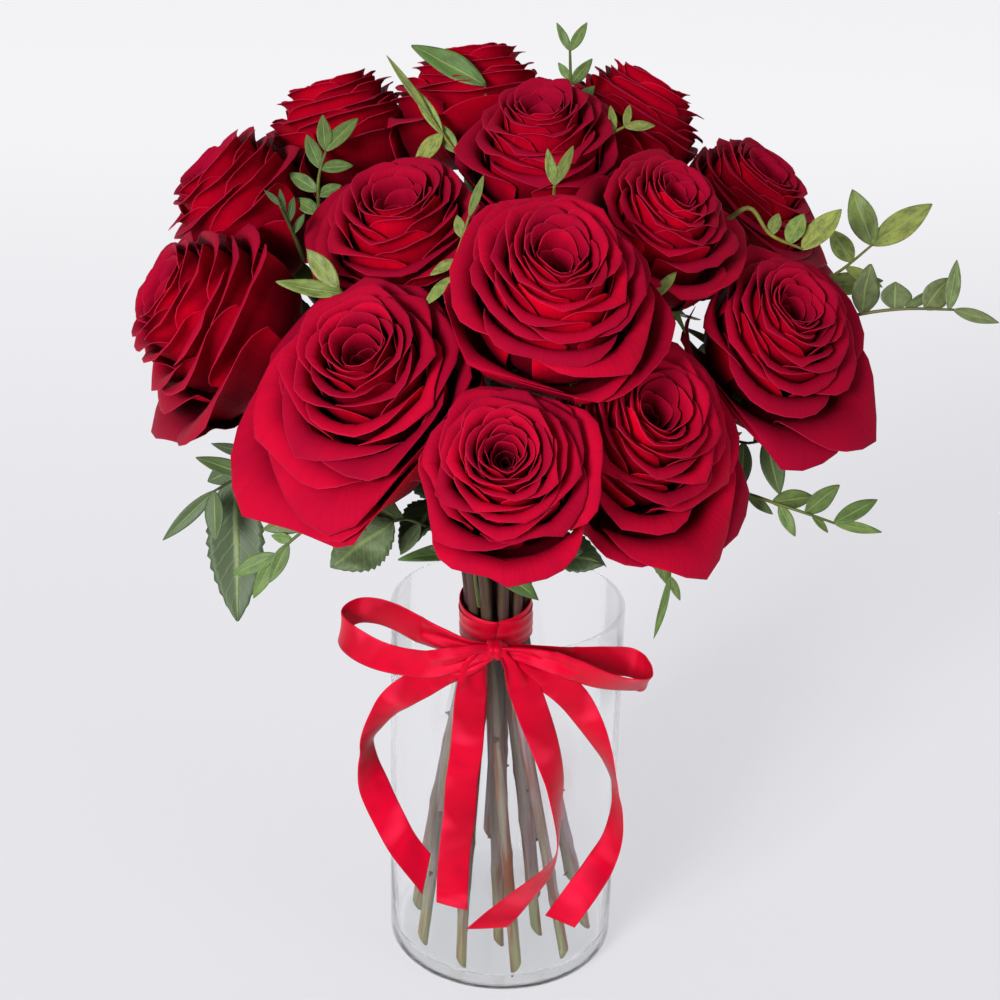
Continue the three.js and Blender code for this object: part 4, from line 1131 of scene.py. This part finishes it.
def make_studio():
    """Camera, a pale glowing floor, a large softbox at the left, a weak one at the right and an even
    sky.
    """
    scene = bpy.context.scene
    pitch, roll = math.radians(CAMERA_PITCH), math.radians(CAMERA_ROLL)
    back = np.array([0, -math.cos(pitch), math.sin(pitch)])
    up = np.array([0, math.sin(pitch), math.cos(pitch)])
    right = np.array([1.0, 0, 0])
    camera = bpy.data.objects.new("camera", bpy.data.cameras.new("camera"))
    put(camera, CAMERA_PLACE * MM, right * math.cos(roll) + up * math.sin(roll),
        up * math.cos(roll) - right * math.sin(roll), back)
    camera.data.lens, camera.data.sensor_width, camera.data.clip_end = CAMERA_LENS, 36, 50
    scene.camera = camera

    sheet = bpy.data.meshes.new("floor")
    sheet.from_pydata([(-9, -6, 0), (9, -6, 0), (9, 14, 0), (-9, 14, 0)], [], [(0, 1, 2, 3)])
    sheet.materials.append(floor_finish())
    floor = bpy.data.objects.new("floor", sheet)
    scene.collection.objects.link(floor)

    softbox("key_softbox", (-1.2, -2.3, 1.15), (0, -0.1, 0.33), 0.8, 88)
    softbox("fill_softbox", (1.9, -1.6, 1.2), (0, -0.1, 0.3), 1.2, 10)

    scene.world = bpy.data.worlds.new("studio")
    scene.world.use_nodes = True
    sky = scene.world.node_tree.nodes["Background"]
    sky.inputs["Color"].default_value = (0.97, 0.975, 1.0, 1.0)
    sky.inputs["Strength"].default_value = 0.38
    scene.view_settings.view_transform = "Standard"
    scene.cycles.glossy_bounces = 12
    scene.cycles.max_bounces = 16


# ---- the bouquet

make_studio()
make_vase(glass_finish())

velvet, green_hip, bark = petal_finish(), calyx_finish(), stem_finish()
for rose_name in ROSES:
    make_head(rose_name, velvet)
    make_calyx(rose_name, green_hip)
    make_stem(rose_name, bark)

greenery = leaf_finish()
for rose_name in ROSES:
    make_shade_filling_stem_leaves(rose_name, greenery)
for sprig_name in SPRIGS:
    make_sprig(sprig_name, greenery)

satin = satin_finish()
make_band(satin)
make_knot(satin)
make_strip("ribbon_loop_left", LOOP_LEFT, satin, "ribbon_bow", seed=0.4)
make_strip("ribbon_loop_right", LOOP_RIGHT, satin, "ribbon_bow", seed=2.1)
make_strip("ribbon_tail_left", TAIL_LEFT, satin, "ribbon_bow", seed=1.3, slant=7.3)
make_strip("ribbon_tail_right", TAIL_RIGHT, satin, "ribbon_bow", seed=3.2, slant=-2.8)
make_strip("ribbon_long_left", LONG_LEFT, satin, "ribbon_hanging_pair", seed=0.9, slant=-2.3)
make_strip("ribbon_long_right", LONG_RIGHT, satin, "ribbon_hanging_pair", seed=4.4, slant=6.8)
